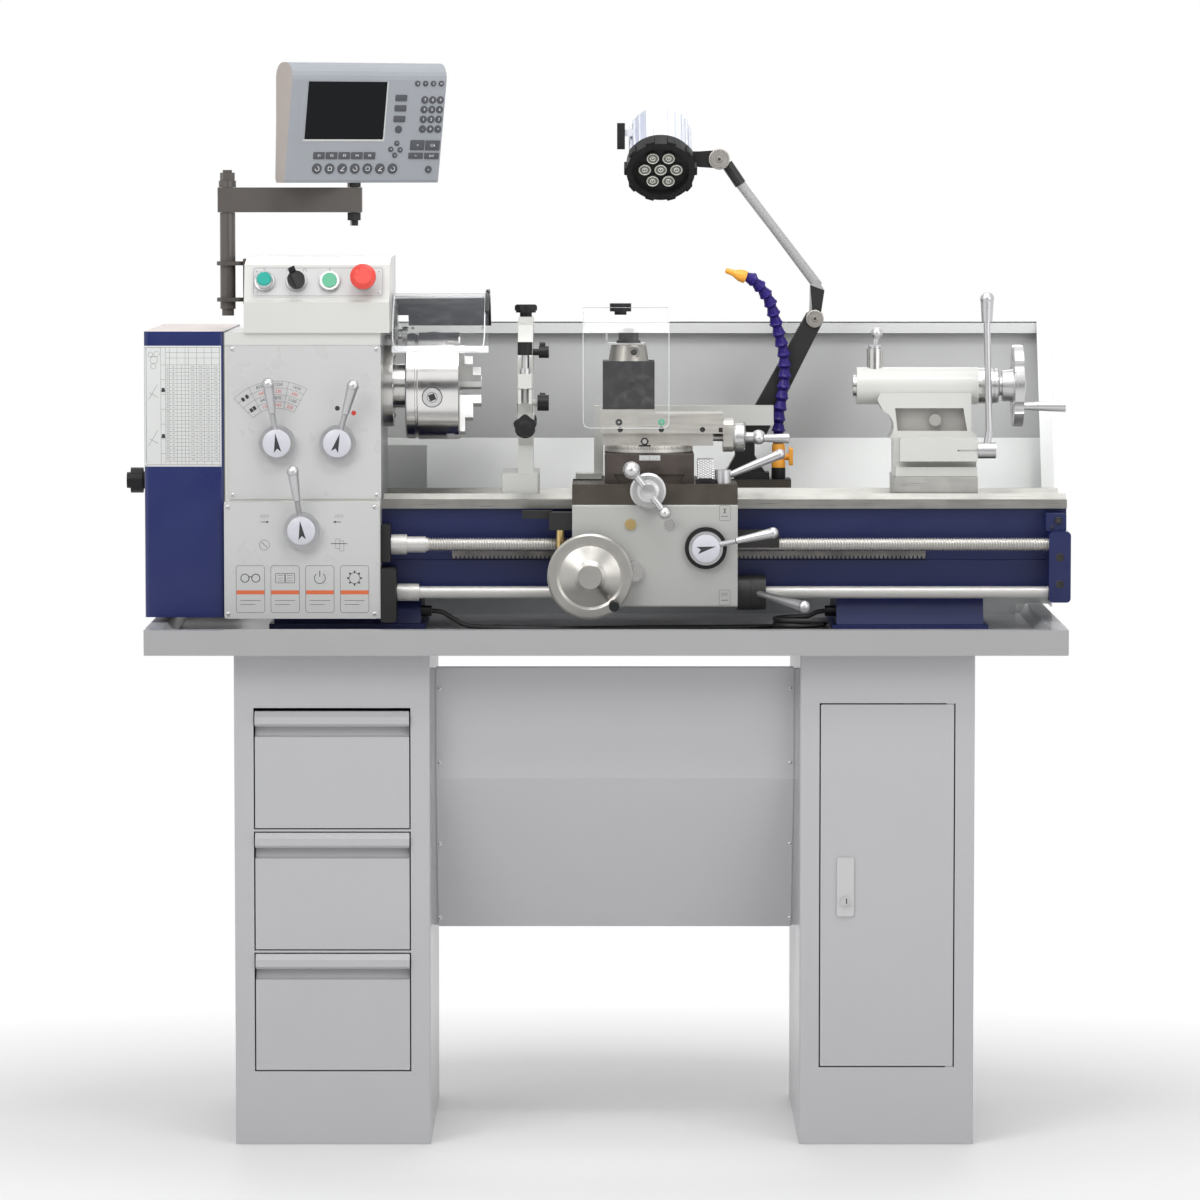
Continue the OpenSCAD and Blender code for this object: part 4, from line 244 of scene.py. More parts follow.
arm_side = enamel("arm_side", (0.16, 0.14, 0.13), 0.4, 0.04, 0.05)
# the casing's cream darkened for its right-hand side face: painted shade
casing_side_painted_shade = enamel("casing_side_painted_shade", (0.375, 0.38, 0.385), 0.4, 0.03, 0.1)
apron_cream = enamel("apron_cream", (0.44, 0.44, 0.425), 0.4, 0.03, 0.12, 0.15)
clear = clear_plastic("clear_sheet", (0.96, 0.98, 1.0), 0.02)
clear_edge = clear_plastic("clear_edge", (0.96, 0.98, 1.0), 0.75)
# the clear sheet made half opaque and whiter: painted highlight
clear_painted_highlight = clear_plastic("clear_painted_highlight", (0.98, 0.99, 1.0), 0.5)
rubber = moulded("cable_rubber", (0.016, 0.016, 0.017), 0.5, 0.25)
lever_steel = machined("lever_steel", (0.55, 0.55, 0.56), spindle, "Y", 0.34, 1.3 * MM, 0.04)
cone_steel = machined("cone_steel", (0.3, 0.285, 0.26), joint_at["tool_post_turn"], "Z", 0.32)
tail_base = ground_metal("tailstock_base", (0.5, 0.49, 0.465), "X", 0.36, 0.7, 0.1)
rough_cast = enamel("rough_casting", (0.36, 0.35, 0.33), 0.75, 0.3, 0.8, 0.0, 0.0)
smoked = clear_plastic("smoked_sheet", (0.1, 0.11, 0.14), 0.9)
dark_screen = moulded("dark_screen", (0.006, 0.007, 0.008), 0.16, 0.02, Specular_IOR_Level=0.12)
key_grey = moulded("key_grey", (0.065, 0.068, 0.08), 0.5, 0.1)
ink = moulded("ink", (0.03, 0.03, 0.034), 0.5, 0.0)
red_ink = moulded("red_ink", (0.62, 0.045, 0.035), 0.5, 0.0)
white_ink = moulded("white_ink", (0.82, 0.82, 0.82), 0.5, 0.0)
band_orange = moulded("band_orange", (0.72, 0.16, 0.06), 0.45, 0.0)
label_paper = moulded("label_white", (0.68, 0.69, 0.68), 0.4, 0.02, 900.0, 0.02)
hub_white = enamel("hub_disc", (0.62, 0.62, 0.68), 0.3, 0.02, 0.03)
reflector = moulded("reflector", (0.16, 0.165, 0.15), 0.25, 0.0)
led = moulded("led_lens", (0.62, 0.64, 0.56), 0.15, 0.0)
# the splash guard's grey made lighter: painted highlight where the sheet catches more light
guard_painted_light = enamel("guard_painted_light_enamel", (0.74, 0.755, 0.745), 0.42, 0.03, 0.1)
case_side = moulded("readout_side", (0.42, 0.37, 0.345), 0.5, 0.35, 1200.0)
cap_steel = moulded("cap_steel", (0.34, 0.32, 0.295), 0.34, 0.0, 900.0, 0.03, Metallic=0.4)
# blue-grey for the lamp head's side faces and fins: painted shade
lamp_side_painted_shade = enamel("lamp_side_painted_shade", (0.5, 0.53, 0.63), 0.36, 0.02, 0.03)
edge_shadow = moulded("edge_shadow", (0.4, 0.41, 0.44), 0.4, 0.0)
cover_top = enamel("cover_top_enamel", (0.5, 0.41, 0.37), 0.42, 0.04, 0.1)

# ---- forms

def axes(origin, right, up):
    """The frame of a face: X to its right, Y up it and Z out of it, in millimetres."""
    right, up = Vector(right).normalized(), Vector(up).normalized()
    turned_frame = Matrix((right, up, right.cross(up))).transposed().to_4x4()
    return Matrix.Translation(Vector(origin) * MM) @ turned_frame @ Matrix.Scale(MM, 4)


def front(x, y, z):
    return axes((x, y, z), (1, 0, 0), (0, 0, 1))


def top(x, y, z):
    return axes((x, y, z), (1, 0, 0), (0, 1, 0))


def right_side(x, y, z):
    return axes((x, y, z), (0, 1, 0), (0, 0, 1))


def left_side(x, y, z):
    return axes((x, y, z), (0, -1, 0), (0, 0, 1))


def turn(angle, axis="Z"):
    return Matrix.Rotation(radians(angle), 4, axis)


def shift(x, y, z=0.0):
    return Matrix.Translation((x, y, z))


def rounded(x, y, r, steps=4):
    """Corners of a rectangle with round corners."""
    centres = [(x[1] - r, y[1] - r, 0), (x[0] + r, y[1] - r, 90), (x[0] + r, y[0] + r, 180),
            (x[1] - r, y[0] + r, 270)]
    return [(cx + r * cos(radians(a + 90 * i / steps)), cy + r * sin(radians(a + 90 * i / steps)))
            for cx, cy, a in centres for i in range(steps + 1)]


class Piece:
    """A mesh of several forms, each given in millimetres in a frame of its own."""

    def __init__(self, name, body, *materials, slot=None):
        self.name, self.body, self.slot = name, body, slot
        self.materials = materials
        self.mesh = bmesh.new()

    def take(self, part, at, material):
        """Adds a finished form, whether a bmesh or a mesh."""
        if isinstance(part, bmesh.types.BMesh):
            bmesh.ops.recalc_face_normals(part, faces=part.faces[:])
            data = bpy.data.meshes.new("form")
            part.to_mesh(data)
            part.free()
        else:
            data = part
        data.transform(at)
        first = len(self.mesh.faces)
        self.mesh.from_mesh(data)
        self.mesh.faces.ensure_lookup_table()
        for face in self.mesh.faces[first:]:
            face.material_index = material
        bpy.data.meshes.remove(data)
        return self

    def prism(self, outline, z, at, material=0, bevel=0.0):
        """An outline drawn out from z[0] to z[1], with a rounded edge."""
        part = bmesh.new()
        face = part.faces.new([part.verts.new((x, y, z[0])) for x, y in outline])
        grown = bmesh.ops.extrude_face_region(part, geom=[face])
        moved = [v for v in grown["geom"] if isinstance(v, bmesh.types.BMVert)]
        bmesh.ops.translate(part, verts=moved, vec=(0, 0, z[1] - z[0]))
        if bevel:
            edges = [e for e in part.edges if all(abs(v.co.z - z[1]) < 1e-6 for v in e.verts)]
            bmesh.ops.bevel(part, geom=edges, offset=bevel, segments=2, affect="EDGES", profile=0.6)
        return self.take(part, at, material)

    def plate(self, x, y, z, at, material=0, r=0.0, bevel=0.0):
        outline = rounded(x, y, r) if r else [(x[0], y[0]), (x[1], y[0]), (x[1], y[1]), (x[0], y[1])]
        return self.prism(outline, z, at, material, bevel)

    def disc(self, r, z, at, material=0, bevel=0.0, steps=32):
        return self.prism([(r * cos(tau * i / steps), r * sin(tau * i / steps)) for i in range(steps)], z, at,
                material, bevel)

    def lathe(self, profile, at, material=0, steps=48):
        """A profile of (radius, height) pairs turned about Z."""
        part = bmesh.new()
        line = [part.verts.new((max(r, 0.0), 0, z)) for r, z in profile]
        edges = [part.edges.new(pair) for pair in zip(line, line[1:])]
        bmesh.ops.spin(part, geom=line + edges, cent=(0, 0, 0), axis=(0, 0, 1), angle=tau, steps=steps,
                use_merge=True)
        bmesh.ops.remove_doubles(part, verts=part.verts[:], dist=1e-4)
        return self.take(part, at, material)

    def bar(self, points, r, at=None, material=0, closed=False, sides=8):
        """A round bar along points; r is one radius or one for each point."""
        line = bpy.data.curves.new("line", "CURVE")
        line.dimensions, line.bevel_depth, line.bevel_resolution, line.use_fill_caps = "3D", 1.0, sides // 4, True
        spline = line.splines.new("POLY")
        spline.points.add(len(points) - 1)
        spline.use_cyclic_u = closed
        for i, (spot, place_) in enumerate(zip(spline.points, points)):
            spot.co = (*place_, 1)
            spot.radius = r[i] if hasattr(r, "__len__") else r
        return self.convert(line, at or Matrix.Scale(MM, 4), material)

    def text(self, words, size, at, material=0, depth=0.05, align="CENTER"):
        line = bpy.data.curves.new("words", "FONT")
        line.body, line.size, line.extrude, line.align_x, line.align_y = words, size, depth, align, "CENTER"
        line.resolution_u = 2
        return self.convert(line, at, material)

    def convert(self, line, at, material):
        holder = bpy.data.objects.new("holder", line)
        data = bpy.data.meshes.new_from_object(holder)
        bpy.data.objects.remove(holder)
        bpy.data.curves.remove(line)
        return self.take(data, at, material)

    def done(self, smooth=35, replaces=()):
        data = bpy.data.meshes.new(self.name)
        self.mesh.to_mesh(data)
        self.mesh.free()
        data.shade_smooth()
        data.set_sharp_from_angle(angle=radians(smooth))
        for material in self.materials:
            data.materials.append(material)
        made = bpy.data.objects.new(self.name, data)
        bpy.context.scene.collection.objects.link(made)
        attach(made, self.body)
        if replaces:
            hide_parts(*replaces)
        return made


# ---- places

AY, AZ = spindle.y / MM, spindle.z / MM
BZ = bed_top / MM
Corner = namedtuple("Corner", "x y z")


def box_mm(node):
    """The lowest and the highest corner of a node's box, in millimetres."""
    return [Corner(*(c / MM for c in corner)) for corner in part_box(node)]


def on_axis(x, y, z):
    return x, AY + y, AZ + z


def on_bed(x, y, z):
    return x, AY + y, BZ + z


def spot(joint):
    return tuple(joint_at[joint] / MM)


def facing(node, towards):
    """The frame of a node's largest flat face that looks about one way, its origin at the face's middle."""
    data = nodes[node].data
    planes = {}
    for face in data.polygons:
        if face.normal.dot(Vector(towards).normalized()) > 0.7:
            key = tuple(round(c, 2) for c in face.normal) + (round(face.center.dot(face.normal), 3),)
            planes.setdefault(key, []).append(face)
    faces = max(planes.values(), key=lambda group: sum(f.area for f in group))
    out = faces[0].normal.copy()
    right = Vector((0, 0, 1)).cross(out).normalized() if abs(out.z) < 0.9 else Vector((1, 0, 0))
    up = out.cross(right)
    points = [data.vertices[i].co for f in faces for i in f.vertices]
    across, along = [p.dot(right) for p in points], [p.dot(up) for p in points]
    middle = right * (max(across) + min(across)) / 2 + up * (max(along) + min(along)) / 2 + out * points[0].dot(out)
    return axes(middle / MM, right, up)


def dress(node, base, *choices):
    """Gives a CAD node its finishes: one for all of it, and others for the faces that pass a test.

    A test takes a face's middle, in millimetres from the spindle's axis, and its normal. The last one passed counts.
    """
    data = nodes[node].data
    data.materials.clear()
    for material in (base, *(choice[0] for choice in choices)):
        data.materials.append(material)
    for face in data.polygons:
        x, y, z = face.center.x / MM, face.center.y / MM - AY, face.center.z / MM - AZ
        face.material_index = 0
        for i, (_, test) in enumerate(choices):
            if test(x, y, z, face.normal):
                face.material_index = i + 1


# ---- camera and cable

scene = bpy.context.scene
lens = bpy.data.cameras.new("camera")
CAMERA_AT = (0, -8.38, 1.44)
CAMERA_TILT = 85.54
LENS_MM, SENSOR_MM = 168, 36
lens.lens, lens.sensor_width = LENS_MM, SENSOR_MM
camera = bpy.data.objects.new("camera", lens)
scene.collection.objects.link(camera)
camera.location = CAMERA_AT
camera.rotation_euler = (radians(CAMERA_TILT), 0, 0)
scene.camera = camera

CABLE = 7
COIL_STEP = CABLE + 0.15
coil_low, coil_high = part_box("cable_coil")
coil = ((coil_low + coil_high) / 2 / MM).to_2d()
coil_floor = coil_low.z / MM + CABLE / 2
lead_in = [(-251, -60, 775), (-236, -60, 773), (-218, -61, 763), (-200, -64, 754), (-184, -68, 752), (-150, -80, 752),
           (-110, -92, 752), (-60, -98, 752), (0, -96, 752), (60, -88, 752), (110, -82, 752), (160, -80, 752),
           (210, -74, 752), (250, -64, 752), (275, -60, 752)]
lead_out = [(310, -59, 767), (323, -60, 773), (335, -60, 775)]


def ease(t):
    t = min(1.0, max(0.0, t))
    return t * t * (3 - 2 * t)


def coil_points(turns=4, per_turn=20):
    """The coil from its outer, lowest place: in, up, out and up again, each turn stepping over a little earlier."""
    places = [(38.5, 0), (31.5, 0), (31.5, 1), (38.5, 1), (38.5, 2)]
    made = []
    for i in range(turns * per_turn + 1):
        turn_, angle = min(i // per_turn, turns - 1), 360 * i / per_turn
        angle -= 360 * turn_
        step = ease((angle - (290 - 75 * turn_)) / 65)
        (r0, row0), (r1, row1) = places[turn_], places[turn_ + 1]
        r, row = r0 + (r1 - r0) * step, row0 + (row1 - row0) * step
        a = radians(angle)
        made.append((coil.x + r * sin(a), coil.y + r * cos(a), coil_floor + row * COIL_STEP))
    return made


route = lead_in + coil_points() + lead_out
cable_line = bpy.data.curves.new("power_cable", "CURVE")
cable_line.dimensions, cable_line.bevel_depth, cable_line.bevel_resolution = "3D", CABLE / 2 * MM, 4
cable_line.resolution_u = 4
spline = cable_line.splines.new("BEZIER")
spline.bezier_points.add(len(route) - 1)
for point, position in zip(spline.bezier_points, route):
    point.co = Vector(position) * MM
    point.handle_left_type = point.handle_right_type = "AUTO"
cable_line.materials.append(rubber)
cable = bpy.data.objects.new("power_cable", cable_line)
scene.collection.objects.link(cable)
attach(cable, "base")
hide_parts("tray_cable", "cable_coil")

# ---- dressing of the solids

out = joint_axis["selector_turn"]
panel = axes(spot("selector_turn"), (1, 0, 0), (0, out.z, -out.y))
onto_panel = panel.inverted()


def in_panel(x, y, z):
    """A place on the switch panel: across, up and out of it."""
    return onto_panel @ (Vector(on_axis(x, y, z)) * MM)


for finish, names in (
        (stand_grey, "cabinets drawer_top drawer_middle drawer_bottom"), (tray_grey, "chip_tray"),
        (bed_navy, "end_bracket"), (shaft_steel, "feed_rod"), (white_plate, "front_plates"),
        (black_plastic, "gear_cover_knob selector_switch"), (turned, "spindle quill"),
        (green_plastic, "start_button"), (red_plastic, "emergency_stop"), (brown_grey, "dro_bracket dro_arm"),
        (slide_iron, "cross_slide"),
        (lever_steel, "speed_lever_left speed_lever_right feed_lever carriage_lock_lever quill_lock clamp_lever"),
        (bright, "cross_slide_crank top_slide_crank tailstock_handwheel"), (top_iron, "compound_base top_slide")):
    for node in names.split():
        dress(node, finish)
dress("cabinet_door", stand_grey, (white_plate, lambda x, y, z, n: y < -240.2),
        (bright, lambda x, y, z, n: y < -243.2))
dress("bed", bed_navy,
      (ways, lambda x, y, z, n: x > -324 and z > -178.3 and abs(y) < 104),
      (rack_iron, lambda x, y, z, n: y < -93.1 and -252.5 < z < -240.5 and -221 < x < 486 and y > -106.5),
      (black_plastic, lambda x, y, z, n: -340 < z < -320 and (-267.2 < x < -250.8 or 334.8 < x < 350.8)
          and abs(y + 80) < 8.5))
# The guard's lower sloping part, its right-hand flange and its lower front faces take the lighter grey: painted
# highlight.
dress("splash_guard", guard_grey,
      (guard_painted_light, lambda x, y, z, n: z < -94 or x > 689.8 or (y < 236 and n.y < -0.3 and z < 80)))
# The casing's right-hand side face takes a darker grey: painted shade.
dress("headstock_casing", cream,
      (casing_side_painted_shade, lambda x, y, z, n: n.x > 0.7 and -324.1 < x < -321.9),
      (turned, lambda x, y, z, n: x > -323.9 and hypot(y, z) < 62),
      (machine_grey, lambda x, y, z, n: x < -554.1),
      (bright, lambda x, y, z, n: x < -550 and y > 150),
      (bright, lambda x, y, z, n: x > -323.9 and hypot(y - 60, z - 76) < 13),
      (black_enamel, lambda x, y, z, n: x > -323.9 and z < -190))
dress("gear_cover", navy, (cover_top, lambda x, y, z, n: n.z > 0.9 and z > 80))
for name in ("idler", "input"):
    dress(name + "_gear", machined(name + "_steel", (0.5, 0.5, 0.49), joint_at[name + "_turn"]))
dress("drive_motor", machine_grey,
      (black_plastic, lambda x, y, z, n: -620 < x < -599 and (z > -220 or y > 176)),
      (turned, lambda x, y, z, n: hypot(y - 96, z + 42) < 56 and (x > -600.1 or x < -616.9)))
dress("chuck_body", machined("chuck_steel", (0.76, 0.75, 0.74), spindle, "X", 0.2, 2.2 * MM, 0.05, 0.03))
for i in (1, 2, 3):
    dress("chuck_jaw_%d" % i, ground_metal("jaw_steel_%d" % i, (0.78, 0.78, 0.77), "X", 0.34, 0.7, 0.08))

HOOD_UP = 10
HOOD_R = 125.9
# A band near the top of the hood takes the whiter sheet: painted highlight.
dress("chuck_guard", clear,
      (clear_edge, lambda x, y, z, n: y < -118.2 or (x < -307.9 and hypot(y, z - HOOD_UP) > HOOD_R)),
      (clear_painted_highlight, lambda x, y, z, n: 92 < degrees(atan2(z - HOOD_UP, y)) < 106 and hypot(y, z - HOOD_UP) > HOOD_R
          and x < -170.5),
      (smoked, lambda x, y, z, n: degrees(atan2(z - HOOD_UP, y)) < 92 and x > -300),
      (black_plastic, lambda x, y, z, n: x > -170.5 and hypot(y, z - HOOD_UP) > 129.3 and y > -20),
      (bright, lambda x, y, z, n: x < -304.8 and hypot(y, z - HOOD_UP) < HOOD_R))
dress("control_box", cream,
      (bright, lambda x, y, z, n: in_panel(x, y, z).z > 0.3
          and any(hypot(in_panel(x, y, z).x - c, in_panel(x, y, z).y) < 14.8 for c in (-47, 0, 49, 99))),
      (teal_lens, lambda x, y, z, n: in_panel(x, y, z).z > 3
          and hypot(in_panel(x, y, z).x + 47, in_panel(x, y, z).y) < 10.8))
dress("dro_display", readout_grey, (black_plastic, lambda x, y, z, n: z < box_mm("dro_arm")[1].z - AZ + 6.8),
      (case_side, lambda x, y, z, n: n.x < -0.6 or n.y > 0.6))
dress("steady_rest_base", cream,
      (black_plastic, lambda x, y, z, n: x > -93 and z > -40 or hypot(y, z) > 112.6 and -95 < z < -20),
      (bright, lambda x, y, z, n: -114 < x < -108 and hypot(y, z) < 71 and z < 0))
dress("steady_rest_top", cream,
      (black_plastic, lambda x, y, z, n: z > 104.5 or x > -99.5 or (y < -95 and z > 49.5)),
      (bright, lambda x, y, z, n: hypot(y, z) < 71 or (y < -100 and z < 50 and hypot(x + 111, y + 107) < 9)))
dress("saddle", saddle_iron,
      (black_enamel, lambda x, y, z, n: y > 110.2 and z < -145),
      (cream, lambda x, y, z, n: y > 57 and z > -143.1 and x < 264 and not (6 < x < 140 and z < -120)),
      (bright, lambda x, y, z, n: x > 143.9 and y < -100 and z > -138.9))
dress("apron", apron_cream,
      (black_enamel, lambda x, y, z, n: x > 203.1 or (x < -41.1 and z > -208)),
      (brass, lambda x, y, z, n: (x < -41.1 and z < -207) or (y < -160.1 and abs(x - 45) < 8.5 and z > -215)),
      (turned, lambda x, y, z, n: y < -160.1 and (abs(x - 103) < 8.5 and z > -215 or hypot(x - 50, z + 267) < 15.5)))
dress("carriage_handwheel", wheel_steel, (black_plastic, lambda x, y, z, n: hypot(x - 20.7, z + 313.8) < 8.6
        and y < -200))
dress("half_nut_lever", lever_steel, (black_plastic, lambda x, y, z, n: hypot(x - 156, z + 232.5) > 25.3
        and y > -171))
dress("tool_post", dark_iron,
      (cone_steel, lambda x, y, z, n: z > 40.4 and z < 66),
      (black_enamel, lambda x, y, z, n: z > 70.4))
# The bent top faces of the tool guard take the whiter sheet: painted highlight.
dress("tool_guard", clear,
      (clear_painted_highlight, lambda x, y, z, n: n.z > 0.5 and n.y < -0.1 and z > 90),
      (white_plate, lambda x, y, z, n: -90 < y < -38 and (z < 100 or abs(n.z) < 0.5) and 8 < x < 67 and z < 105),
      (black_plastic, lambda x, y, z, n: hypot(x - 30.5, y + 62) < 16.5 and z > 108.5))
dress("spindle_control_lever", lever_steel, (black_enamel, lambda x, y, z, n: x < 245.5
        and hypot(y + 124, z + 301) < 26.5))
dress("tailstock_body", cream,
      (turned, lambda x, y, z, n: z > 27.9 and hypot(x - 412, y) < 13),
      (tail_base, lambda x, y, z, n: z < -132.6),
      (rough_cast, lambda x, y, z, n: abs(y) > 21.5 and abs(y) < 33.8 and -66.5 < z < -31.5 and 440 < x < 556),
      (turned, lambda x, y, z, n: x > 566.6 and hypot(y, z) < 28))
dress("lamp_lower_arm", black_enamel, (arm_side, lambda x, y, z, n: n.x < -0.6),
        (bright, lambda x, y, z, n: hypot(x - 327, z - 97) < 14 and abs(y - 150) > 14.8))
dress("lamp_upper_arm", arm_grey, (black_enamel, lambda x, y, z, n: x > 322 and z < 137 or z > 290))

LAMP_TILT = radians(35)
head = axes(on_axis(92, 130, 330), (1, 0, 0), (0, -sin(LAMP_TILT), cos(LAMP_TILT)))
into_head = head.inverted()


def in_head(x, y, z):
    """Distance from the lamp head's own axis, and along it."""
    place_ = into_head @ (Vector(on_axis(x, y, z)) * MM)
    return hypot(place_.x, place_.y), place_.z


# The side faces of the lamp head take a blue-grey: painted shade.
dress("lamp_head", lamp_silver,
      (lamp_side_painted_shade, lambda x, y, z, n: n.x > 0.8 or n.x < -0.5),
      (black_plastic, lambda x, y, z, n: x > 141 or x < 39),
      (black_plastic, lambda x, y, z, n: in_head(x, y, z)[1] > -6.3 and in_head(x, y, z)[0] < 52.5),
      (reflector, lambda x, y, z, n: in_head(x, y, z)[0] < 34.5 and in_head(x, y, z)[1] > 8.3))

# ---- marks and small parts


INK = (0.02, 0.12)
ARC_STEPS = 24


def stroke(piece, at, p, q, width=0.5, material=0):
    """A printed line from p to q."""
    side = Vector((p[1] - q[1], q[0] - p[0])).normalized() * width / 2
    corners = [Vector(q) - side, Vector(q) + side, Vector(p) + side, Vector(p) - side]
    piece.prism([tuple(c) for c in corners][::-1], INK, at, material)


def round_stroke(piece, at, r, start, end, width=0.5, material=0):
    """A printed arc; its angles run clockwise from straight up."""
    turns = [radians(start + (end - start) * i / ARC_STEPS) for i in range(ARC_STEPS + 1)]
    outer = [((r + width / 2) * sin(a), (r + width / 2) * cos(a)) for a in turns]
    inner = [((r - width / 2) * sin(a), (r - width / 2) * cos(a)) for a in reversed(turns)]
    piece.prism((outer + inner)[::-1], INK, at, material)


def frame_lines(piece, at, x, y, r, width=0.5, material=0):
    """A printed rectangle with round corners."""
    outline = rounded(x, y, r)
    for p, q in zip(outline, outline[1:] + outline[:1]):
        stroke(piece, at, p, q, width, material)


def screw(piece, at, r=3.2, material=0, slot=1, angle=30):
    """Pan-head screw with a slot."""
    piece.lathe([(0, r * 0.55), (r * 0.6, r * 0.5), (r * 0.9, r * 0.3), (r, 0), (r * 0.9, -0.3)], at, material, 20)
    # The slot is a dark plate on the head: painted shade where a slot would be cut.
    piece.plate((-r * 0.8, r * 0.8), (-r * 0.12, r * 0.12), (r * 0.45, r * 0.57), at @ turn(angle), slot)


def socket_screw(piece, at, r=5, high=4, material=0, painted_socket_shade=1):
    """Cap screw with a hexagon socket, drawn as a dark hexagon on the head: painted shade for the hole."""
    piece.lathe([(0, high), (r - 0.6, high), (r, high - 0.6), (r, 0)], at, material, 24)
    piece.disc(r * 0.55, (high, high + 0.15), at, painted_socket_shade, steps=6)


def graduations(piece, at, r, width):
    """Sixty engraved lines round a collar, longer at each fifth and tenth."""
    for i in range(60):
        tall = 5.4 if i % 10 == 0 else 4.0 if i % 5 == 0 else 2.6
        piece.plate((-tall, 0), (-width / 2, width / 2), (0, 0.15), at @ turn(6 * i) @ shift(r, 0) @ turn(90, "Y"), 0)


def star_knob(piece, at, r=16, high=12, lobes=6, material=0):
    """Moulded knob with round lobes and a rounded top edge."""
    turns = [tau * i / (lobes * 10) for i in range(lobes * 10)]
    outline = [((r - 1.4 + 1.4 * cos(lobes * a)) * cos(a), (r - 1.4 + 1.4 * cos(lobes * a)) * sin(a)) for a in turns]
    piece.prism(outline, (0, high), at, material, bevel=2.0)


ARROW = [(0, 15.5), (-5.6, -13.5), (0, -8), (5.6, -13.5)]


def hub_face(name, body, at, r):
    """White disc with a dark notched arrow on a lever's hub."""
    made = Piece(name, body, hub_white, ink, slot="front_white")
    made.lathe([(0, 0.7), (r - 0.6, 0.7), (r, 0.3), (r, -0.2)], at, 0)
    made.prism([(x * r / 21, y * r / 21) for x, y in ARROW], (0.7, 0.85), at, 1)
    made.done()


for body, lean in (("left_lever", -7), ("right_lever", 16), ("gearbox_lever", -7), ("half_nut", 78)):
    x, y, z = spot(body + "_turn")
    hub_face(body + "_face", body, front(x, y - 17, z) @ turn(-lean), 20.5)

marks = Piece("headstock_marks", "base", ink, red_ink, band_orange, slot="front_white")
left = front(*spot("left_lever_turn"))
for r in (51, 61, 71, 81, 91):
    round_stroke(marks, left, r, -44, 29, 0.35)
for angle in (-44, -27, -8, 11, 29):
    a = radians(angle)
    stroke(marks, left, (51 * sin(a), 51 * cos(a)), (91 * sin(a), 91 * cos(a)), 0.35)
for r, speeds, color in ((86, (850, 1200, 1650), 0), (76, (160, 230, 300), 1), (66, (640, 870, 1100), 0),
        (56, (120, 165, 220), 1)):
    for angle, speed in zip((-17.5, 1.5, 20), speeds):
        marks.text(str(speed), 6.5, left @ turn(-angle) @ shift(0, r, 0.05), color)
for r in (81, 61):
    for angle in (-38, -33):
        marks.plate((-2.2, 2.2), (-3, 3), INK, left @ turn(-angle) @ shift(0, r, 0), 0)
right = front(*spot("right_lever_turn"))
marks.disc(3.6, (0.02, 0.14), right @ shift(0, 51), 0)
marks.disc(3.6, (0.02, 0.14), right @ shift(24, 44), 1)
box = front(*spot("gearbox_lever_turn"))
for side in (-1, 1):
    stroke(marks, box, (55 * side - 5, 12), (55 * side + 3, 12), 1.0)
    marks.prism([(55 * side + 3, 10), (55 * side + 3, 14), (55 * side + 7, 12)] if side < 0 else
                [(55 * side - 5, 14), (55 * side - 5, 10), (55 * side - 9, 12)], INK, box, 0)
    for i in range(5):
        x = 55 * side - 6 + 2.6 * i
        stroke(marks, box, (x, 18), (x + 1.8, 23), 0.4)
round_stroke(marks, box @ shift(-55, -22), 7.5, 0, 360, 0.5)
stroke(marks, box @ shift(-55, -22), (-4, 4), (4, -4), 0.8)
stroke(marks, box, (43, -20), (67, -20), 1.0)
for x, y in (((50, 56), (-27, -13)), ((56, 62), (-31, -16))):
    frame_lines(marks, box, x, y, 0.5, 0.4)
for i in range(4):
    x = -97 + 51.2 * i
    frame_lines(marks, box, (x, x + 42), (-122, -52.5), 4, 0.5)
    marks.plate((x + 0.5, x + 41.5), (-95, -89), (0.02, 0.1), box, 2)
    for k in range(2):
        stroke(marks, box, (x + 6, -104 - 6 * k), (x + 36 - 8 * k, -104 - 6 * k), 0.6)
    symbol = box @ shift(x + 21, -71)
    if i == 0:
        for side in (-1, 1):
            round_stroke(marks, symbol @ shift(8 * side, 0), 6, 0, 360, 1.2)
        stroke(marks, symbol, (-3, 2), (3, 2), 1.2)
    elif i == 1:
        for side in (-1, 1):
            frame_lines(marks, symbol, sorted((0.5 * side, 14 * side)), (-7, 7), 1, 0.7)
            for k in range(3):
                stroke(marks, symbol, (3 * side, 4 - 4 * k), (11 * side, 4 - 4 * k), 0.5)
    elif i == 2:
        round_stroke(marks, symbol, 8, 40, 320, 1.0)
        stroke(marks, symbol, (0, 2), (0, 11), 1.2)
    else:
        round_stroke(marks, symbol, 8, 0, 360, 0.8)
        for k in range(8):
            marks.plate((-1.2, 1.2), (8, 11), INK, symbol @ turn(45 * k), 0)
marks.done()

screws = Piece("headstock_screws", "base", bright, ink, slot="bright_steel")
low, high = box_mm("front_plates")
for x in (low.x + 13, high.x - 6):
    for z in (-155, 60):
        screw(screws, front(*on_axis(x, -151, z)))
for x in (low.x + 6, high.x - 9):
    for z in (-172, -330):
        screw(screws, front(*on_axis(x, -165, z)))
for angle in range(30, 390, 60):
    a = radians(angle)
    socket_screw(screws, right_side(*on_axis(-309, -52 * sin(a), 52 * cos(a))), 4.6, 1.2)
screws.done()

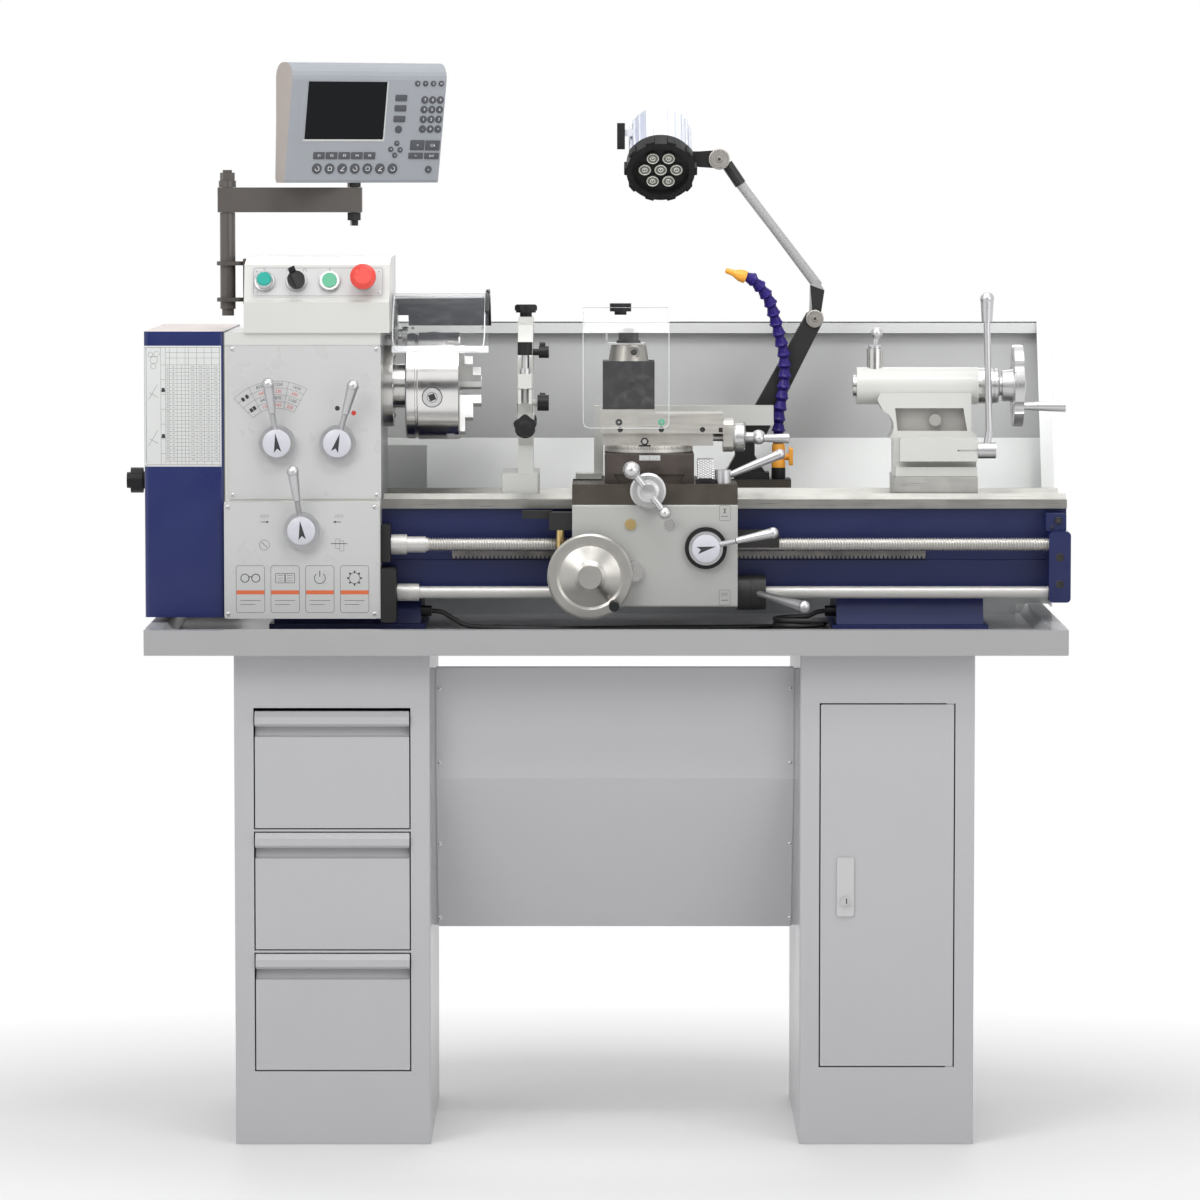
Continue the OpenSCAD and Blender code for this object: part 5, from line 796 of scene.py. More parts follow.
# chart on the gear cover
CHART_ROW = 5.46
CHART_LOW, CHART_HIGH = -110.5, 62.5
chart = Piece("gear_chart", "gear_guard", label_paper, ink, bright, slot="front_white")
low = box_mm("gear_cover")[0]
face = front(low.x + 1, low.y, AZ)
chart.plate((0, 113), (-113, 65), (0, 0.5), face, 0, bevel=0.1)
on_chart = face @ shift(0, 0, 0.5)
frame_lines(chart, on_chart, (2.5, 110.5), (CHART_LOW, CHART_HIGH), 0.3, 0.4, 1)
for i, x in enumerate((24, 31, 37, 48, 54.5, 60, 65, 77, 88, 99)):
    stroke(chart, on_chart, (x, CHART_LOW), (x, CHART_HIGH if i != 4 else 38), 0.3, 1)
for i in range(27):
    y = 37 - CHART_ROW * i
    stroke(chart, on_chart, (24 if i % 4 == 0 else 31, y), (110.5, y), 0.3, 1)
for y in (47, 55):
    stroke(chart, on_chart, (31, y), (110.5, y), 0.3, 1)
for k, x in enumerate((34, 42.5, 71, 82.5, 93.5, 105)):
    first, step = (24, 1) if k < 2 else (0.04 * (k - 1), 0.031 * (k - 1))
    lines = [str(first + 2 * step * i) if k < 2 else "%.2f" % (first + step * i) for i in range(26)]
    for i, words in enumerate(lines):
        chart.text(words, 2.9, face @ shift(x, 34.2 - CHART_ROW * i, 0.62), 1, 0.02)
for x, y, r in ((9, 52, 3.5), (14, 44, 5.5), (18, 53, 4), (13, 35, 4)):
    round_stroke(chart, face @ shift(x, y, 0.5), r, 0, 360, 0.35, 1)
for x, y in ((13, -2), (13, -70)):
    stroke(chart, on_chart, (x - 7, y - 12), (x + 6, y + 10), 0.4, 1)
    stroke(chart, on_chart, (x - 6, y - 2), (x + 7, y - 9), 0.4, 1)
for y in (0, -68):
    chart.prism([(24.5, y - 3), (30.5, y - 3), (29.5, y + 3), (25.5, y + 3)], (0.5, 0.65), face, 1)
for x in (2.5, 110.5):
    for y in (CHART_HIGH, CHART_LOW):
        screw(chart, face @ shift(x, y, 0.5), 1.8, 2, 1)
chart.done()

# hinge screws of the gear cover, and its finger notch
rear = Piece("gear_cover_rear_screws", "gear_guard", bright, ink, slot="bright_steel")
for z in (-280, -200, -60, 20):
    screw(rear, left_side(low.x, AY + 215, AZ + z), 3.5)
rear.lathe([(22, 0), (26, 0), (27.5, 1), (27.5, 2), (22, 2)], left_side(low.x + 1.4, AY, AZ), 0)
rear.done()

# ---- switch panel and readout

marks = Piece("switch_panel", "base", white_plate, ink, bright, slot="front_white")
marks.plate((-66, 130), (-24, 24), (-0.2, 0.8), panel, 0, 5)
frame_lines(marks, panel @ shift(0, 0, 0.8), (-63, 127), (-21.5, 21.5), 4, 0.4, 1)
for sx, sy in ((-58, 17), (122, 17), (122, -17), (-58, -17)):
    screw(marks, panel @ shift(sx, sy, 0.8), 2.2, 2, 1)
for sx in (-47, 0, 49):
    round_stroke(marks, panel @ shift(sx, 0, 0.8), 16, 0, 360, 0.4, 1)
stroke(marks, panel @ shift(-47, 19, 0.8), (-2, 2), (1, -0.4), 0.6, 1)
for sx in (-12, 12):
    round_stroke(marks, panel @ shift(sx, 17.5, 0.8), 2.6, -130, 130, 0.5, 1)
stroke(marks, panel @ shift(49, 19, 0.8), (0, -2), (0, 2), 0.8, 1)
marks.done()

pilot = Piece("pilot_lamp", "base", teal_lens, bright, slot="green_plastic")
pilot.lathe([(0, 13), (5, 12.2), (8, 10.2), (9.4, 7.4), (9.5, 4)], panel @ shift(-47, 0), 0)
pilot.lathe([(9.5, 6), (13.6, 5.5), (14.3, 3), (14.3, 0.5)], panel @ shift(-47, 0), 1)
pilot.done()

display = facing("dro_display", (0.35, -0.9, -0.1))
readout = Piece("readout_face", "readout", readout_grey, dark_screen, key_grey, white_ink, white_plate,
        slot="readout_plastic")
# Keys and screen are in millimetres from the middle of the face. The figures were read off the photograph.
KEY_RISE = (-0.2, 1.4)
ROUND_KEY, KEY_WIDTH, KEY_HEIGHT = 11.46, 18.98, 9.37


def keys(row, w, h, words=(), size=4.4):
    """Keys at places from the middle of the readout's face; round ones have no height of their own."""
    for i, (x, y) in enumerate(row):
        if h:
            readout.plate((x - w / 2, x + w / 2), (y - h / 2, y + h / 2), KEY_RISE, display, 2, 1.2, 0.4)
        else:
            readout.disc(w / 2, KEY_RISE, display @ shift(x, y), 2, bevel=0.5, steps=20)
        if i < len(words):
            readout.text(words[i], size, display @ shift(x, y, 1.45), 3, 0.04)


x0, x1, y0, y1 = -100.12, 29.16, -14.05, 72.99
readout.plate((x0 - 12, x0), (y0 - 2, y1 + 2), (-0.3, 0.25), display, 0)
readout.plate((x0, x1), (y0, y1), (-0.6, 0.32), display, 1)
# Frame round the screen: white along the lower and right edges, a painted highlight; the face's grey along the upper
# and left ones.
for x, y, color in (((x0 - 2, x1 + 2), (y1, y1 + 1.4), 0), ((x0 - 2, x1 + 2), (y0 - 2.6, y0), 4),
        ((x0 - 2, x0), (y0, y1), 0), ((x1, x1 + 2), (y0, y1), 4)):
    readout.plate(x, y, (-0.3, 0.7), display, color)
keys([(78.97 + 13.05 * i, 70.88) for i in range(4)], 8.7, 0, "XYZW", 4)
keys([(53.86, 48.81), (53.86, 33.25), (53.47, 17.08)], KEY_WIDTH, KEY_HEIGHT)
keys([(53.47, 1.36)], ROUND_KEY, 0)
for y, words in ((46.09, "789"), (31.58, "456"), (16.77, "123"), (1.97, "-0+")):
    keys([(93.2 + 12.85 * i, y) for i in range(3)], ROUND_KEY, 0, words, 6)
for words, x, y in (("^", 52.68, -19.8), ("<", 43.59, -28.86), (">", 59, -29.77), ("v", 50.9, -37.78)):
    keys([(x, y)], 8.3, 0, words, 4.5)
keys([(87.07, -22.52), (112.37, -22.82)], 23.32, 15.11, ("=", "CA"), 6)
keys([(85.69, -38.54), (111.98, -38.84)], 23.72, KEY_HEIGHT, ("<-", "ENT"), 4.5)
keys([(108.62, -59.39)], 11.07, 0, "o", 5)
keys([(-73.83 + 20.76 * i, -38.54) for i in range(5)], 18.58, 10.58, ("F1", "F2", "F3", "F4", "F5"), 5.4)
soft_keys = [(-75.61 + 20.76 * i, -58.18) for i in range(7)]
keys(soft_keys, 15.81, 0)
for i, (x, y) in enumerate(soft_keys):
    symbol = display @ shift(x, y, 1.4)
    if i % 3 == 0:
        round_stroke(readout, symbol, 3.2, 0, 270, 0.8, 3)
    elif i % 3 == 1:
        frame_lines(readout, symbol, (-2.8, 2.8), (-2.8, 2.8), 0.8, 0.8, 3)
    else:
        stroke(readout, symbol, (-3, -3), (3, 3), 0.9, 3)
        stroke(readout, symbol, (-3, -3), (3, -3), 0.9, 3)
readout.done()


# ---- carriage and its shafts

lead_axis = joint_at["leadscrew_turn"]
screw_low, screw_high = box_mm("leadscrew")
screw_steel = moulded("leadscrew_steel", (0.42, 0.4, 0.37), 0.36, 0.02, Metallic=0.6)
thread = Piece("leadscrew_thread", "lead_screw", screw_steel, shaft_steel, slot="machined_steel")
from_left = axes((screw_low.x, lead_axis.y / MM, lead_axis.z / MM), (0, 1, 0), (0, 0, 1))
length = screw_high.x - screw_low.x
THREAD_PITCH = 4.0


def helix(piece, at, start, stop, pitch, root, crest, steps=12, material=0):
    """A trapezoidal thread along Z from start to stop, as one skin open at both ends."""
    part = bmesh.new()
    turns = int((stop - start) / pitch)
    shape = [(root, 0.0), (crest, 0.14), (crest, 0.46), (root, 0.6), (root, 1.0)]
    rings = []
    for i in range(turns * steps + 1):
        a = tau * i / steps
        rings.append([part.verts.new((r * cos(a), r * sin(a), start + pitch * (i / steps + z))) for r, z in shape])
    for one, two in zip(rings, rings[1:]):
        for k in range(len(shape) - 1):
            part.faces.new((one[k], two[k], two[k + 1], one[k + 1]))
    return piece.take(part, at, material)


helix(thread, from_left, 100, length - 31, THREAD_PITCH, 7.3, 9.9)
thread.lathe([(0, 0), (10, 0), (10, 45), (15, 45), (15, 68), (12, 68), (12, 96), (10, 96), (10, 100), (8, 100.5),
        (8, length - 30.5), (9, length - 30), (9, length - 29), (8, length - 28.5), (8, length), (0, length)],
        from_left, 1, 32)
thread.done(replaces=("leadscrew",))

wheel = front(*spot("carriage_wheel_turn"))
marks = Piece("handwheel_marks", "handwheel", black_plastic, slot="machined_steel")
plane = spot("carriage_wheel_turn")[1] - box_mm("carriage_handwheel")[0].y
a = radians(-49)
grip = wheel @ shift(54 * cos(a), 54 * sin(a))
marks.lathe([(0, plane - 0.4), (5.6, plane - 0.6), (7.4, plane - 2.5), (8.1, plane - 8), (7.9, plane - 20),
        (7.6, plane - 37), (7.6, plane - 38)], grip, 0, 32)
marks.done()

cross_dial = front(*spot("cross_crank_turn")) @ shift(0, 0, 10.6)
top_dial = right_side(box_mm("top_slide_crank")[1].x - 68.6, *spot("top_crank_turn")[1:])
tail_dial = right_side(589, *spot("tail_wheel_turn")[1:])
for name, body, dial, r, width in (("cross_dial_marks", "cross_crank", cross_dial, 26.5, 0.36),
        ("top_dial_marks", "top_crank", top_dial, 22, 0.36), ("tail_dial_marks", "tail_wheel", tail_dial, 26, 0.45)):
    marks = Piece(name, body, ink, slot="bright_steel")
    graduations(marks, dial, r, width)
    marks.done()

# swivel scale, and the marked plate on the cross slide
x, y, z = spot("compound_swivel")
swivel = axes((x, y, box_mm("cross_slide")[1].z), (1, 0, 0), (0, 1, 0))
marks = Piece("swivel_scale", "compound", ink, slot="ground_iron")
for i in range(-60, 61, 2):
    tall = 5.2 if i % 10 == 0 else 3.4
    marks.plate((-tall, 0), (-0.28, 0.28), (0, 0.12), swivel @ turn(i - 90) @ shift(65, 0, 6.2) @ turn(90, "Y"), 0)
marks.lathe([(64.8, 0.6), (65.25, 0.6), (65.25, 1.9), (64.8, 1.9)], swivel, 0, 96)
marks.done()
low, high = box_mm("cross_slide")
face = front(x, low.y, high.z)
marks = Piece("cross_slide_marks", "cross", white_plate, ink, slot="ground_iron")
marks.plate((-15, 16), (-9, -1.5), (-0.1, 0.4), face, 0)
for i in range(-5, 6):
    stroke(marks, face @ shift(0.5 + 2 * i, 0, 0.4), (0, -7.5 if i % 5 else -5.5), (0, -8.6), 0.3, 1)
marks.text("0", 3, face @ shift(0.5, -4, 0.45), 1, 0.03)
marks.done()

# screws in the slides' front faces
slide_y = box_mm("top_slide")[0].y
screws = Piece("top_slide_screws", "top", bright, ink, black_enamel, green_plastic, slot="ground_iron")
for x, z in ((30, 104), (91, 104), (152, 104)):
    place_ = front(x, slide_y + 4, BZ + z)
    screws.lathe([(0, 1.2), (3.0, 1.4), (4.4, 2.2), (4.6, 0)], place_, 2, 20)
    # The slot is a dark plate: painted shade where a slot would be cut.
    screws.plate((-2.6, 2.6), (-0.5, 0.5), (1.3, 1.6), place_ @ turn(40), 1)
for x, color in ((28, 2), (91, 3)):
    screws.lathe([(0, 0.4), (4.2, 0.3), (5.2, 0), (5.2, -0.3)], front(x, slide_y, BZ + 115), color, 20)
    screws.lathe([(0, 0.9), (1.4, 0.8), (1.7, 0.3)], front(x, slide_y, BZ + 115), 0, 16)
screws.plate((176, 182), (100, 107), (-0.1, 0.1), front(0, slide_y, BZ), 2)
low, high = box_mm("top_slide")
for x in (low.x + 12, low.x + 171):
    socket_screw(screws, top(x, AY - 94, high.z - (0 if x < 81 else 6)), 3.5, 0.4)
screws.done()

screws = Piece("compound_nut", "compound", black_enamel, bright, slot="dark_iron")
nut = front(*on_bed(66, -62 - 65, 88))
screws.prism([(6.2 * cos(tau * i / 6), 6.2 * sin(tau * i / 6)) for i in range(6)], (-3, 3.5), nut, 0, 0.6)
screws.lathe([(0, 7.5), (3, 7.2), (3.4, 6.6), (3.4, 3)], nut, 1, 20)
screws.plate((-9, 9), (-7.5, -5.5), (-3, 1.5), nut, 0)
screws.done()

# knurled block of the dial reader, and its clamp
low, high = box_mm("saddle")
reader = front(*on_bed(156, -136, 44))
marks = Piece("reader_grip", "carriage", bright, black_plastic, slot="bright_steel")
for i in range(7):
    for k in range(9):
        x, y = -10.5 + 3.5 * i, -14 + 3.5 * k
        marks.lathe([(0, 0.9), (1.9, 0)], reader @ shift(x, y + (1.75 if i % 2 else 0)) @ turn(45), 0, 4)
marks.prism([(-13, -25), (13, -25), (15, -16), (9, -13), (-9, -13), (-15, -16)], (0.1, 4), reader @ shift(0, 3), 1,
        1.0)
for side in (-1, 1):
    marks.disc(3.2, (0, 5), reader @ shift(11.5 * side, -18), 1, 0.8, 20)
marks.done()

# apron: printed icons
face = front(0, AY - 160, BZ)
marks = Piece("apron_marks", "carriage", ink, slot="casting_paint")
symbol = face @ shift(184, -16)
frame_lines(marks, symbol, (-8, 8), (-11, 11), 1.5, 0.4)
for k in (-1, 1):
    round_stroke(marks, symbol @ shift(2.6 * k, 3), 3.2, 180 if k > 0 else 0, 360 if k > 0 else 180, 0.8)
stroke(marks, symbol, (-5, -5), (5, -5), 0.7)
symbol = face @ shift(184, -141)
frame_lines(marks, symbol, (-8, 8), (-11, 11), 1.5, 0.4)
for k in range(4):
    stroke(marks, symbol, (-5 + 2.6 * k, 2), (-3.4 + 2.6 * k, 7), 0.5)
stroke(marks, symbol, (-5, -4), (5, -4), 0.9)
marks.done()

# ---- coolant hose

hose = Piece("coolant_hose_links", "carriage", hose_blue, hose_orange, black_plastic, slot="blue_plastic")
line = [Vector(on_bed(*p)) for p in ((272, 127, 72), (272, 126, 95), (273, 125, 119), (276, 125, 135),
        (278, 125, 152), (281, 124, 169), (281, 123, 187), (280, 121, 203), (278, 119, 218), (274, 116, 230),
        (270, 113, 247), (265, 109, 264), (261, 104, 279), (255, 98, 294), (246, 92, 307), (236, 86, 318),
        (226, 80, 325), (218, 77, 327))]


def along(points, distance):
    """A place and the way on, at a distance along a line of points."""
    for p, q in zip(points, points[1:]):
        step = (q - p).length
        if distance <= step or q is points[-1]:
            return p.lerp(q, distance / step), (q - p).normalized()
        distance -= step


def facing_along(place_, way):
    side = way.cross(Vector((0, 1, 0.3))).normalized()
    return axes(place_, side, way.cross(side))


total = sum((q - p).length for p, q in zip(line, line[1:]))
LINK = 16.6
links = round((total - 2) / LINK)
for i in range(links):
    place_, _ = along(line, 2 + (total - 2) * (i + 0.5) / links)
    before, _ = along(line, 2 + (total - 2) * i / links)
    after, _ = along(line, min(total, 2 + (total - 2) * (i + 1) / links))
    place_frame = facing_along(place_, (after - before).normalized())
    hose.lathe([(6.4, -9.4), (8.4, -9.0), (10.4, -7.4), (10.6, -6.0), (9.4, -4.6), (8.6, -1.0), (7.4, 3.0),
        (7.0, 4.6), (7.8, 6.2), (8.2, 8.0), (7.2, 9.8)],
               place_frame, 0, 28)
tip, way = along(line, total)
nozzle = facing_along(tip, Vector((-29, -4, 10)).normalized())
hose.lathe([(6, -2), (9.4, -2), (9.8, 1), (9.2, 7), (7.4, 12), (5.4, 16), (4.6, 21), (4.4, 27), (3.8, 29.5),
        (2.4, 30), (2.2, 27), (0, 27)], nozzle, 1, 32)
foot = top(*on_bed(272, 128, 18))
hose.lathe([(0, 0), (10, 0), (10.4, 1), (10.4, 17), (9.6, 19), (7, 20)], foot, 2, 32)
for i in range(12):
    hose.plate((-1, 1), (2, 17), (0, 0.5), foot @ turn(30 * i) @ shift(10.2, 0) @ turn(90, "Y") @ turn(90), 2)
hose.lathe([(7, 16), (10, 17), (10.6, 20), (10.2, 26), (8.6, 30), (8.4, 38), (9.8, 42), (10, 50), (8.6, 54), (7, 56)],
        foot, 1, 32)
hose.plate((-8.5, 8.5), (-7, 7), (0, 16), foot @ shift(0, 0, 26), 1, 2.5, 1)
tap = right_side(*on_bed(281, 128, 52))
hose.disc(5.2, (-3, 7), tap, 1, steps=24)
hose.plate((-10, 10), (-13, 14), (7, 13), tap, 1, 3, 1)
hose.done(replaces=("coolant_hose",))

# ---- work lamp

LENS_RING = 24
marks = Piece("lamp_lenses", "lamp", led, black_plastic, bright, slot="lamp_aluminium")
for i in range(7):
    a = radians(60 * i)
    r = 0 if i == 6 else LENS_RING
    lens_at = head @ shift(r * cos(a), r * sin(a), 12.9)
    marks.lathe([(7.6, 0.3), (8.0, 0.9), (9.0, 0.9), (9.4, 0)], lens_at, 0, 28)
    marks.lathe([(2.6, 0.2), (3.4, 0.8), (4.4, 0.2)], lens_at, 0, 20)
    marks.lathe([(0, 0.9), (1.1, 0.7), (1.5, 0.1)], lens_at, 2, 16)
for i in range(10):
    marks.plate((-7, 7), (50, 55.5), (1, 17), head @ turn(36 * i + 18), 1, 1.5, 1)
marks.done()

for name, body, joint, y, r in (("lamp_elbow_cap", "lamp_lower", "lamp_elbow", 150.9, 13.5),
        ("lamp_tilt_cap", "lamp_upper", "lamp_tilt", 142.9, 16.0)):
    marks = Piece(name, body, cap_steel, ink, slot="bright_steel")
    x, _, z = spot(joint)
    marks.lathe([(0, 1.2), (r - 3.4, 1.2), (r - 3.0, 0.8), (r - 2.6, 1.2), (r - 1.2, 1.2), (r, 0.4), (r, -0.4)],
            front(x, y, z), 0, 40)
    socket_screw(marks, front(x, y - 1.2, z), 4.6, 2.0)
    marks.done()

# bright tube of the upper arm, from its elbow to its sleeve
marks = Piece("lamp_arm_tube", "lamp_upper", arm_grey, slot="lamp_aluminium")
low, high = Vector(on_axis(333, 150, 146.5)), Vector(on_axis(212.5, 150, 302.5))
marks.bar([low.lerp(high, i / 16) for i in range(17)], 7.3, material=0, sides=24)
marks.done()

# ---- guards, steady rest and other small parts

def arc_band(start, stop, r, thick, steps=8):
    """Outline of a bent sheet about the hood's middle, across and up from the spindle's axis."""
    angles = [radians(start + (stop - start) * i / steps) for i in range(steps + 1)]
    inner = [(r * cos(a), HOOD_UP + r * sin(a)) for a in angles]
    return inner + [((r + thick) * cos(a), HOOD_UP + (r + thick) * sin(a)) for a in reversed(angles)]


hood = Piece("chuck_guard_sheets", "hood", smoked, black_plastic, clear_edge, bright, slot="clear_sheet")
low, high = box_mm("chuck_guard")
x0, x1 = low.x, high.x
across = right_side(x0, AY, AZ)
hood.prism(arc_band(38, 48.2, 126, 2.4), (18, x1 - x0 - 5), across, 0)
hood.prism(arc_band(38, 128, 125.6, 7, 20), (x1 - x0 - 6, x1 - x0), across, 1)
edge = [(x0 + 1, 104), (x0 + 1, 130), (x0 + 1, 148), (x0 + 2, 154), (x0 + 5, 157.5), (x0 + 11, 159), (x1 - 16, 159),
    (x1 - 10, 157.5), (x1 - 7, 154), (x1 - 6, 148),
        (x1 - 6, 130), (x1 - 6, 104)]
EDGE_R = 129.2
hood.bar([on_axis(x, EDGE_R * cos(radians(a)), HOOD_UP + EDGE_R * sin(radians(a))) for x, a in edge], 1.0, material=2)
for x in (x0 + 130, x0 + 24):
    hood.disc(2.2, (0, 1.5), front(*on_axis(x, 100, 84)), 3, steps=16)
hood.done()

# edges of the tool guard's sheet, bent over at the top
low, high = box_mm("tool_guard")
x0, x1, y, z0, z1 = low.x, high.x, low.y, low.z, high.z
guard = Piece("tool_guard_edges", "shield", clear_edge, slot="clear_sheet")
guard.bar([(x0, y + 47, z1 - 5.2), (x0, y, z1 - 30), (x0, y, z0 + 9), (x0 + 2.6, y, z0 + 2.6), (x0 + 9, y, z0),
    (x1 - 9, y, z0), (x1 - 2.6, y, z0 + 2.6), (x1, y, z0 + 9),
           (x1, y, z1 - 30), (x1, y + 47, z1 - 5.2)], 0.5)
guard.bar([(x0, y, z1 - 30), (x1, y, z1 - 30)], 0.5)
guard.done()

# painted shadow lines along the outline of the guard's bent top, and the screw holes of the tool post
marks = Piece("tool_guard_outline", "shield", edge_shadow, slot="clear_sheet")
marks.bar([(x0 + 0.4, y + 0.6, z1 - 30.4), (x0 + 0.4, y + 46, z1 - 6), (x1 - 0.4, y + 46, z1 - 6),
        (x1 - 0.4, y + 0.6, z1 - 30.4)], 0.45)
marks.done()
low, high = box_mm("tool_post")
x, z = spot("tool_post_turn")[0] + 6, low.z + 48
marks = Piece("tool_post_rings", "post", black_enamel, cone_steel, slot="dark_iron")
marks.lathe([(5.0, -4), (5.2, 0.25), (6.2, 0.1)], front(x, low.y, z), 0, 28)
marks.disc(5.0, (-6, -5), front(x, low.y, z), 0)
cone = front(x + 2, low.y + 8.4, high.z - 35)
marks.lathe([(4.9, -5), (5.2, -1.0), (6.6, -0.6), (7.6, 0.6), (8.4, -0.6)], cone, 1, 32)
marks.disc(5.0, (-6, -5), cone, 0)
marks.done()

# folded lip along the splash guard's top in the lighter grey, a painted highlight, and a dark strip under it, a
# painted shadow
low, high = box_mm("splash_guard")
lip = Piece("splash_guard_lip", "base", guard_painted_light, ink, slot="guard_paint")
lip_at = front(0, 252, high.z)
lip.plate((low.x + 1, high.x - 4), (-18, -0.6), (-1.2, 0.0), lip_at, 0)
lip.plate((low.x + 1, high.x - 4), (-18.8, -18), (-1.2, -0.2), lip_at, 1)
lip.done()

marks = Piece("end_bracket_bolts", "base", black_enamel, ink, slot="navy_paint")
low, high = box_mm("end_bracket")
x, z = low.x, high.z
for dx, dz in ((20, -64), (20, -104)):
    marks.lathe([(0, 0.2), (4.4, 0.2), (5.6, 0.5), (6.2, 0.1)], front(x + dx, low.y, z + dz), 0, 24)
socket_screw(marks, front(x + 18, AY - 132, z - 10), 5.4, 3)
socket_screw(marks, front(x + 9, AY - 132, z - 20), 2.6, 1.5)
marks.done()

# knobs, fingers and joint lines of the steady rest; the dark plate behind each finger is painted shade for the slot
# it runs in
STEADY_X = -111
for name, body, node in (("steady_base_knobs", "steady", "steady_rest_base"),
        ("steady_top_knobs", "steady_top", "steady_rest_top")):
    low, high = box_mm(node)
    knobs = Piece(name, body, black_plastic, ink, bright, slot="black_plastic")
    if body == "steady":
        star_knob(knobs, front(STEADY_X, low.y + 3, AZ - 55) @ turn(18), 17.6, 8, 5, 0)
        knobs.lathe([(0, 1.6), (5, 1.2), (9, 0)], front(STEADY_X, low.y - 5, AZ - 55), 0, 24)
        star_knob(knobs, right_side(high.x - 14, AY - 60, AZ - 21), 14.6, 9, 6, 0)
        for x in (-122.3, -99.7):
            stroke(knobs, front(0, AY - 96, AZ), (x, -36), (x, -22), 0.7, 1)
        knobs.plate((-116, -105), (-20, 12), (0, 1.0), front(0, AY - 98, AZ), 1)
        knobs.bar([(STEADY_X + 0.5, AY - 100, AZ - 16), (STEADY_X + 0.5, AY - 100, AZ + 10)], 2.6, material=2)
    else:
        star_knob(knobs, top(STEADY_X, AY, high.z - 9), 16.8, 8, 6, 0)
        star_knob(knobs, right_side(high.x - 14, AY - 60, AZ + 56), 12.6, 9, 6, 0)
        knobs.plate((-116, -105), (18, 52), (0, 1.0), front(0, AY - 98, AZ), 1)
        knobs.bar([(STEADY_X + 0.5, AY - 100, AZ + 20), (STEADY_X + 0.5, AY - 100, AZ + 50)], 2.6, material=2)
    knobs.done()

marks = Piece("stand_screws", "base", bright, ink, slot="stand_paint")
for z in (330, 440, 560, 670):
    for x in (-236, 280):
        screw(marks, front(x, -180, z), 3.0)
marks.done()

# The lock's keyway is a dark plate: painted shade for the slot.
marks = Piece("door_lock", "door", ink, slot="bright_steel")
lock = front(361.5, box_mm("cabinet_door")[0].y, 361)
marks.plate((-0.8, 0.8), (-4, 4), (0, 0.2), lock)
marks.done()

# key sockets of the chuck; the dark square in each is painted shade for the key's square hole
marks = Piece("chuck_key_sockets", "spindle_unit", bright, black_enamel, ink, slot="machined_steel")
for angle in (70, 190, 310):
    a = radians(angle)
    way = Vector((0, cos(a), sin(a)))
    at = axes(Vector(on_axis(-249.5, 0, 0)) + way * 80, (1, 0, 0), Vector((1, 0, 0)).cross(way) * -1)
    marks.lathe([(7.8, 0.3), (14.2, 0.45), (14.4, -1.6)], at, 0, 40)
    marks.lathe([(14.2, 0.3), (15.4, 0.3), (15.8, -1.9)], at, 1, 40)
    marks.lathe([(7.8, 0.35), (7.2, 0.2), (7.0, 0.0)], at, 1, 32)
    marks.disc(7.2, (-0.6, 0.15), at, 0)
    marks.plate((-4.8, 4.8), (-4.8, 4.8), (-0.4, 0.3), at @ turn(20), 2)
marks.done()

# ---- floor, light and background


def staged(name, data, place_=(0, 0, 0), look=None):
    made = bpy.data.objects.new(name, data)
    scene.collection.objects.link(made)
    made.location = place_
    if look is not None:
        made.rotation_euler = (Vector(look) - Vector(place_)).to_track_quat("-Z", "Y").to_euler()
    return made


def area_light(name, watts, width, height, place_, look, color=(1, 1, 1)):
    data = bpy.data.lights.new(name, "AREA")
    data.shape, data.size, data.size_y, data.energy, data.color = "RECTANGLE", width, height, watts, color
    return staged(name, data, place_, look)


area_light("key_light", 50, 2.2, 1.6, (-2.1, -3.0, 3.2), (0, 0, 0.9))
area_light("fill_light", 26, 2.4, 2.0, (2.8, -3.2, 1.9), (0, 0, 0.8))
area_light("top_light", 26, 2.6, 1.6, (0.1, -0.2, 3.6), (0, 0, 0.9))
area_light("back_light", 18, 3.0, 1.4, (0.3, 3.2, 2.6), (0, 0, 1.0))
over = area_light("over_light", 3, 1.6, 0.5, (0.35, -1.1, 2.6), (0.25, 0.25, 1.02))
over.data.spread = radians(75)

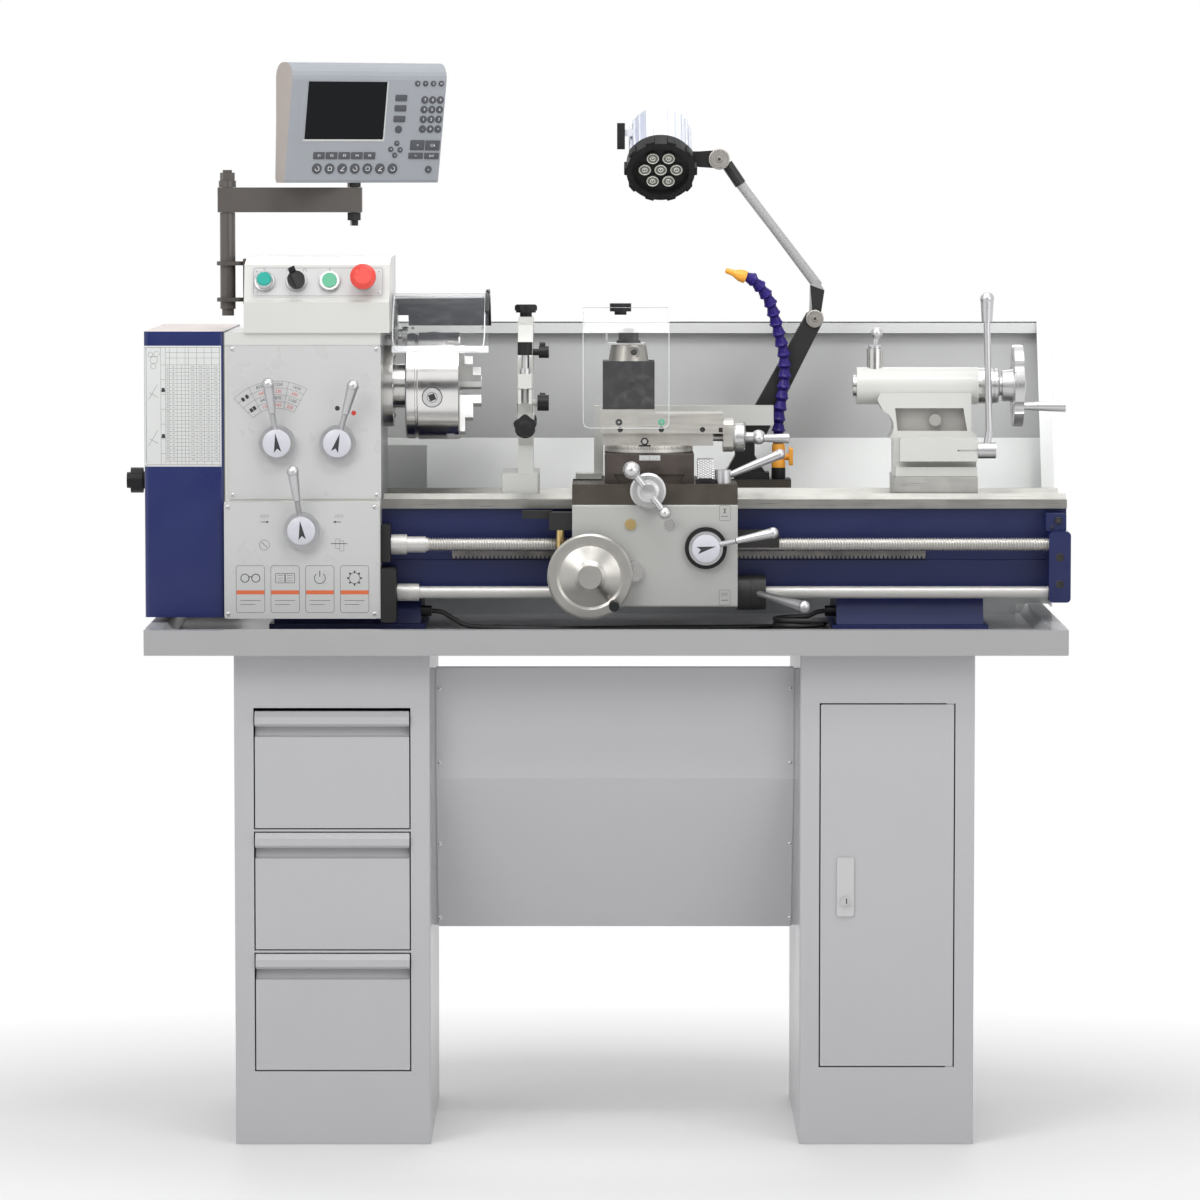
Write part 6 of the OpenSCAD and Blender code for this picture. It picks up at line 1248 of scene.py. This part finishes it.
# a dark screen behind the camera, which the bright metal and the enamel mirror
screen_material, tree, shader = new_material("dark_card", (0.035, 0.035, 0.04), 0.8)
connect(tree, shader, Roughness=ramp(tree, noise(tree, 3.0), 0.2, 0.8, 0.7, 0.9))
screen_mesh = bpy.data.meshes.new("dark_card")
screen_mesh.from_pydata([(-3.4, 0, -1.6), (3.4, 0, -1.6), (3.4, 0, 1.7), (-3.4, 0, 1.7)], [], [(0, 1, 2, 3)])
screen_mesh.materials.append(screen_material)
staged("dark_card", screen_mesh, (0, -9.6, 1.75))

# a floor that catches the shadow near the machine and fades to white away from it
floor_material, tree, shader = new_material("floor_white", (0.9, 0.9, 0.9), 0.55, 0.0)
output = next(n for n in tree.nodes if n.type == "OUTPUT_MATERIAL")
ground = add(tree, "ShaderNodeTexCoord").outputs["Object"]
reach = add(tree, "ShaderNodeVectorMath", operation="LENGTH")
flat = add(tree, "ShaderNodeVectorMath", ground, (0.62, 1.0, 0.0), operation="MULTIPLY")
feed(tree, reach.inputs[0], flat.outputs[0])
fade = ramp(tree, reach.outputs["Value"], 0.55, 1.15)
glow = add(tree, "ShaderNodeEmission", Color=(1, 1, 1, 1), Strength=1.0)
mixed = add(tree, "ShaderNodeMixShader", fade, shader.outputs[0], glow.outputs[0])
connect(tree, output, Surface=mixed.outputs[0])
connect(tree, shader, Roughness=ramp(tree, noise(tree, 40.0, 5.0), 0.3, 0.7, 0.5, 0.62))
floor_mesh = bpy.data.meshes.new("floor")
floor_mesh.from_pydata([(-14, -14, 0), (14, -14, 0), (14, 14, 0), (-14, 14, 0)], [], [(0, 1, 2, 3)])
floor_mesh.materials.append(floor_material)
staged("floor", floor_mesh, (0, 0, -0.0005))

world = bpy.data.worlds.new("white_room")
scene.world = world
world.use_nodes = True
tree = world.node_tree
path = add(tree, "ShaderNodeLightPath")
seen = maths(tree, "ADD", maths(tree, "ADD", path.outputs["Is Camera Ray"], path.outputs["Is Glossy Ray"], True),
        path.outputs["Is Transmission Ray"], True)
white = add(tree, "ShaderNodeBackground", Color=(1, 1, 1, 1), Strength=1.0)
soft = add(tree, "ShaderNodeBackground", Color=(1, 1, 1, 1), Strength=0.46)
blend = add(tree, "ShaderNodeMixShader", seen, soft.outputs[0], white.outputs[0])
connect(tree, next(n for n in tree.nodes if n.type == "OUTPUT_WORLD"), Surface=blend.outputs[0])

scene.view_settings.view_transform = "Standard"
